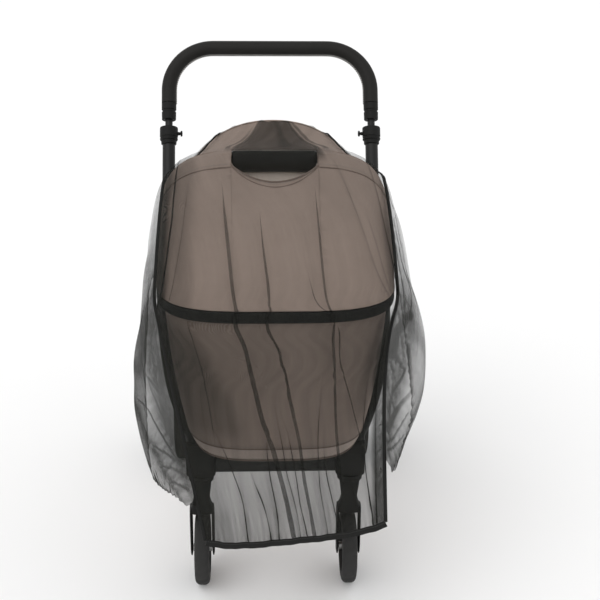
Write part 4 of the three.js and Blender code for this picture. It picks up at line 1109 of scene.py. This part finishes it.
def tube_stack(name, side):
    """Lower tube, sleeve with its knob, neck and collar, one above the other up the slope."""
    x = side * TUBE_X
    drop = PUSH_FOOT["z"] - HUB["z"]
    low = HUB["radius"] + 0.3 - drop / math.sin(PUSH_SLOPE)
    tube, sleeve, neck, collar = (PUSH_STOPS[key] for key in ("tube", "sleeve", "neck", "collar"))
    rows = [
        (f"lower_tube_{name}", low, PAINT, "chassis_metal",
         [(0, 0), (0, 14), (0.6, 14.5), (tube - low - 0.6, 14.5), (tube - low, 14), (tube - low, 0)]),
        (f"sleeve_{name}", tube + 0.3, PLASTIC, "chassis_plastic",
         [(0, 0), (0, 16.5), (1, 17.5), (9, 17.8), (10, 20), (12, 20.6), (14, 20.6), (15, 19.6), (17, 19.6),
          (18, 20.8), (38, 20.8), (40, 20), (40.7, 18.5), (40.7, 0)]),
        (f"neck_{name}", sleeve + 0.3, PAINT, "chassis_metal",
         [(0, 0), (0, 8.5), (neck - sleeve - 0.3, 8.5), (neck - sleeve - 0.3, 0)]),
        (f"collar_{name}", neck + 0.3, PLASTIC, "chassis_plastic",
         [(0, 0), (0, 15), (1, 16.2), (18, 16.6), (19.5, 15.2), (23, 15.2), (24.5, 16.9), (39, 16.9),
          (40.7, 15.5), (40.7, 0)]),
    ]
    for node, start, finish, slot, profile in rows:
        turned(node + "_turned", on_push(x, start), UP_SLOPE, profile, finish, (node,))
    knob = on_push(x - side * 20, tube + 26)
    turned(f"sleeve_knob_{name}", knob, (-side, 0, 0),
           [(-4, 0), (-4, 4), (4, 4), (5, 3.4), (6.5, 3.4), (7, 6.4), (9.5, 6.8), (11, 5.5), (11.5, 0)],
           PLASTIC, count=24)


ARM = [(230, 70, 545), (227, 0, 551), (227, -60, 544), (222, -118, 500), (204, -185, 405),
       (176, -240, 345), (165, -249.5, 326)]
REAR_LEG = [(226, 238, 380), (205, 262, 300), (184, 280, 240), (182, 298, 145), (182, 300, 122.6)]


def chassis_side(name, side):
    """Hub, arm, rear leg, cot mount, fork block, fork and wheels of one side."""
    tube_stack(name, side)
    x = side * TUBE_X
    hub_y = PUSH_FOOT["y"] - (PUSH_FOOT["z"] - HUB["z"]) / math.tan(PUSH_SLOPE)
    hub = np.array([x, hub_y, HUB["z"]])
    half = HUB["width"] / 2
    turned(f"hub_{name}_turned", hub, (side, 0, 0),
           [(-half, 0), (-half, 27), (-half + 2, 29), (-3, 29.6), (-2, 28.6), (0, 28.6), (1, 29.6),
            (half - 3, 29.4), (half - 1, 27), (half - 1, 20), (half - 3, 19), (half - 3, 9),
            (half, 8), (half, 0)], PLASTIC, (f"hub_{name}",), 56)

    def mirrored(rows):
        return [np.array([side * row[0], row[1], row[2]], float) for row in rows]

    def off_hub(towards):
        away = np.array([0.0, towards[1] - hub_y, towards[2] - HUB["z"]])
        return hub + (HUB["radius"] - 0.6) * away / np.linalg.norm(away)

    arm = curve_through([off_hub(ARM[0]), *mirrored(ARM), (side * 164.5, FORK["y"], 315.2)], 90)
    carried(f"arm_{name}_tube", arm, circle(28, 10.9), (1.0, 0, 0), PAINT,
            (f"arm_{name}",))
    leg = curve_through([off_hub(REAR_LEG[0]), *mirrored(REAR_LEG)], 60)
    carried(f"rear_leg_{name}_tube", leg, circle(28, 10.9), (1.0, 0, 0), PAINT,
            (f"rear_leg_{name}",))
    mount = sorted((side * 204.6, side * 215.6))
    block(f"cot_mount_{name}_block", (mount[0], -25, 536), (mount[1], 25, 566), 3.0, PLASTIC,
          (f"cot_mount_{name}",))
    fork_x = side * FORK["x"]
    block(f"fork_block_{name}_moulding", (fork_x - 29, FORK["y"] - 22, 245),
          (fork_x + 29, FORK["y"] + 22, 315), 9.0, PLASTIC, (f"fork_block_{name}",))
    turned(f"fork_collar_{name}_turned", (fork_x, FORK["y"], 231), (0, 0, 1),
           [(0, 0), (0, 22.5), (1.2, 24.6), (6, 25), (7, 24), (8, 25), (12.4, 25), (13.7, 23.5), (13.7, 0)],
           PLASTIC, (f"fork_collar_{name}",))
    fork(name, fork_x)
    wheel("front", name, (fork_x, FORK["y"], FRONT_RADIUS * FACET), FRONT_RADIUS, 30.0, 18)
    wheel("rear", name, (side * REAR_WHEEL["x"], REAR_WHEEL["y"], REAR_RADIUS * FACET), REAR_RADIUS, 32.0,
          30)
    pin = 18.7
    turned(f"front_axle_{name}_pin", (fork_x - pin, FORK["y"], FRONT_RADIUS * FACET), (1, 0, 0),
           [(0, 0), (0, 7.4), (0.6, 8), (2 * pin - 0.6, 8), (2 * pin, 7.4), (2 * pin, 0)], STEEL,
           (f"front_axle_{name}",), 24)


def fork(name, x):
    """Fork: a waisted stem that parts into two flat prongs, each a rounded ring carried down."""
    stem = xyz(x, FORK["y"], np.array([230.6, 229, 215, 200, 190, 178, 170, 160]))
    size = np.array([0.96, 1.0, 0.94, 0.84, 0.8, 0.95, 1.12, 1.2])
    carried(f"fork_{name}_stem", stem, rounded_box(20, 15.6, 9, 40), (1.0, 0, 0), PLASTIC,
            (f"fork_{name}",), size)
    drop = np.array([170, 160, 140, 110, 80, 66, 61, 60])
    narrow = np.array([0.8, 0.96, 1.0, 0.98, 0.92, 0.8, 0.55, 0.4])
    for place, out in (("inner", -1), ("outer", 1)):
        prong = xyz(x + out * 21.9, FORK["y"], drop)
        carried(f"fork_{name}_{place}_prong", prong, rounded_box(3.0, 15.4, 2.4, 28), (1.0, 0, 0), PLASTIC,
                sizes=narrow)


def wheel(row, name, centre, radius, width, lugs):
    """Wheel: a tyre of rounded section whose tread dips on even steps, round a moulded disc that
    dishes in and rises to five broad spokes."""
    half = width / 2
    inner = radius - 22
    around = 8 * lugs
    turn = np.arange(around) / around * 2 * PI
    spot = np.linspace(0, 1, 26)
    sweep = PI * spot
    across_w = half * np.sign(np.cos(sweep)) * np.abs(np.cos(sweep)) ** 0.75
    reach = inner + 21.8 * np.abs(np.sin(sweep)) ** 0.5
    tread = ease(reach, radius - 5, radius - 1)[:, None]
    groove = tread * 1.6 * (0.5 + 0.5 * np.tanh(4 * np.cos(lugs * turn[None] + 6 * spot[:, None] - 3)))
    rim = np.minimum(reach[:, None] - groove, radius * FACET)
    across_w = np.concatenate([across_w, [-half * 0.7, half * 0.7]])
    rim = np.concatenate([rim, np.full((2, around), inner + 0.1)])
    points = xyz(centre[0] + across_w[:, None], centre[1] + rim * np.sin(turn),
                 centre[2] + rim * np.cos(turn))
    chart = pairs(turn * radius, across_w[:, None])
    piece(f"{row}_wheel_{name}_tread", points,
          grid_faces(*points.shape[:2], round_rows=True, round_columns=True), RUBBER,
          (f"{row}_wheel_{name}_tyre",), chart, sharp=50)
    spokes = 0.5 + 0.5 * np.cos(5 * turn)
    radii = np.array([8.6, 9, 16, 19, 22, 30, 0.72 * inner, 0.86 * inner, inner - 3, inner - 0.4])
    rises = np.array([0.55, 0.6, 0.6, 0.5, 0.3, 0.22, 0.22, 0.3, 0.58, 0.6])
    lift = np.array([0.0, 0, 0, 0.3, 0.7, 1.0, 1.0, 0.7, 0, 0])[:, None]
    face = half * (rises[:, None] + 0.3 * lift * ease(spokes, 0.45, 0.75))
    near = xyz(centre[0] + face, centre[1] + radii[:, None] * np.sin(turn),
               centre[2] + radii[:, None] * np.cos(turn))
    far = xyz(centre[0] - face, near[..., 1], near[..., 2])[::-1]
    points = np.concatenate([near, far])
    chart = pairs(turn * 50, np.arange(len(points))[:, None] * 3.0)
    piece(f"{row}_wheel_{name}_hub", points,
          grid_faces(*points.shape[:2], round_rows=True, round_columns=True), PLASTIC,
          (f"{row}_wheel_{name}_disc",), chart, sharp=35)


push_bar()
chassis_side("left", -1)
chassis_side("right", 1)
cross = FORK["x"] - 29.3
carried("front_crossbar_tube", xyz(np.linspace(-cross, cross, 12), FORK["y"], 267.0),
        rounded_box(12.8, 16.8, 5.0, 40), (0, 1.0, 0), PAINT, ("front_crossbar",))
axle_end = REAR_WHEEL["x"] + 12
turned("rear_axle_rod", (-axle_end, REAR_WHEEL["y"], REAR_RADIUS * FACET), (1, 0, 0),
       [(0, 0), (0, 5), (1, 7.4), (3, 8), (2 * axle_end - 3, 8), (2 * axle_end - 1, 7.4),
        (2 * axle_end, 5), (2 * axle_end, 0)], STEEL, ("rear_axle",), 24)


# Scene

def stage():
    """Pale floor that reaches past the frame, and soft light from above."""
    size = 40.0
    mesh = bpy.data.meshes.new("floor")
    mesh.from_pydata([(-size, -size, 0), (size, -size, 0), (size, size, 0), (-size, size, 0)], [],
                     [(0, 1, 2, 3)])
    floor = linked("floor", mesh)
    paint = Finish("pale_floor", Roughness=0.9, Specular_IOR_Level=0.1)
    cloud = paint.noise(2.0, 2.0)
    paint.drive(Base_Color=paint.blend(cloud, (0.88, 0.88, 0.88, 1), (0.9, 0.9, 0.9, 1)))
    mesh.materials.append(paint.material)
    world = bpy.data.worlds.new("studio")
    bpy.context.scene.world = world
    world.use_nodes = True
    background = world.node_tree.nodes["Background"]
    background.inputs[0].default_value = (1, 1, 1, 1)
    background.inputs[1].default_value = 0.9
    sun = bpy.data.lights.new("soft_key", "SUN")
    sun.energy, sun.angle = 1.1, math.radians(60)
    key = linked("soft_key", sun)
    key.rotation_euler = (math.radians(38), math.radians(-16), math.radians(-12))


def camera():
    """Camera from its three directions in the pram's frame: right, down and forward."""
    pitch, yaw, roll = (math.radians(a) for a in (20.5, 2.4, -0.5))
    forward = np.array([math.sin(yaw) * math.cos(pitch), math.cos(yaw) * math.cos(pitch),
                        -math.sin(pitch)])
    right = np.array([math.cos(yaw), -math.sin(yaw), 0])
    down = np.cross(forward, right)
    right, down = (right * math.cos(roll) + down * math.sin(roll),
                   down * math.cos(roll) - right * math.sin(roll))
    place = (np.array([-42.89, -2358.85, 1397.07]) + OFFSET) / 1000
    data = bpy.data.cameras.new("camera")
    data.sensor_width, data.lens = 36.0, 72.0
    data.clip_start, data.clip_end = 0.05, 100.0
    made = linked("camera", data)
    turn = np.stack([right, -down, -forward], 1)
    made.matrix_world = Matrix([[*turn[k], place[k]] for k in range(3)] + [[0, 0, 0, 1]])
    bpy.context.scene.camera = made


stage()
camera()
bpy.context.scene.view_settings.view_transform = "Standard"
bpy.context.scene.cycles.transparent_max_bounces = 48
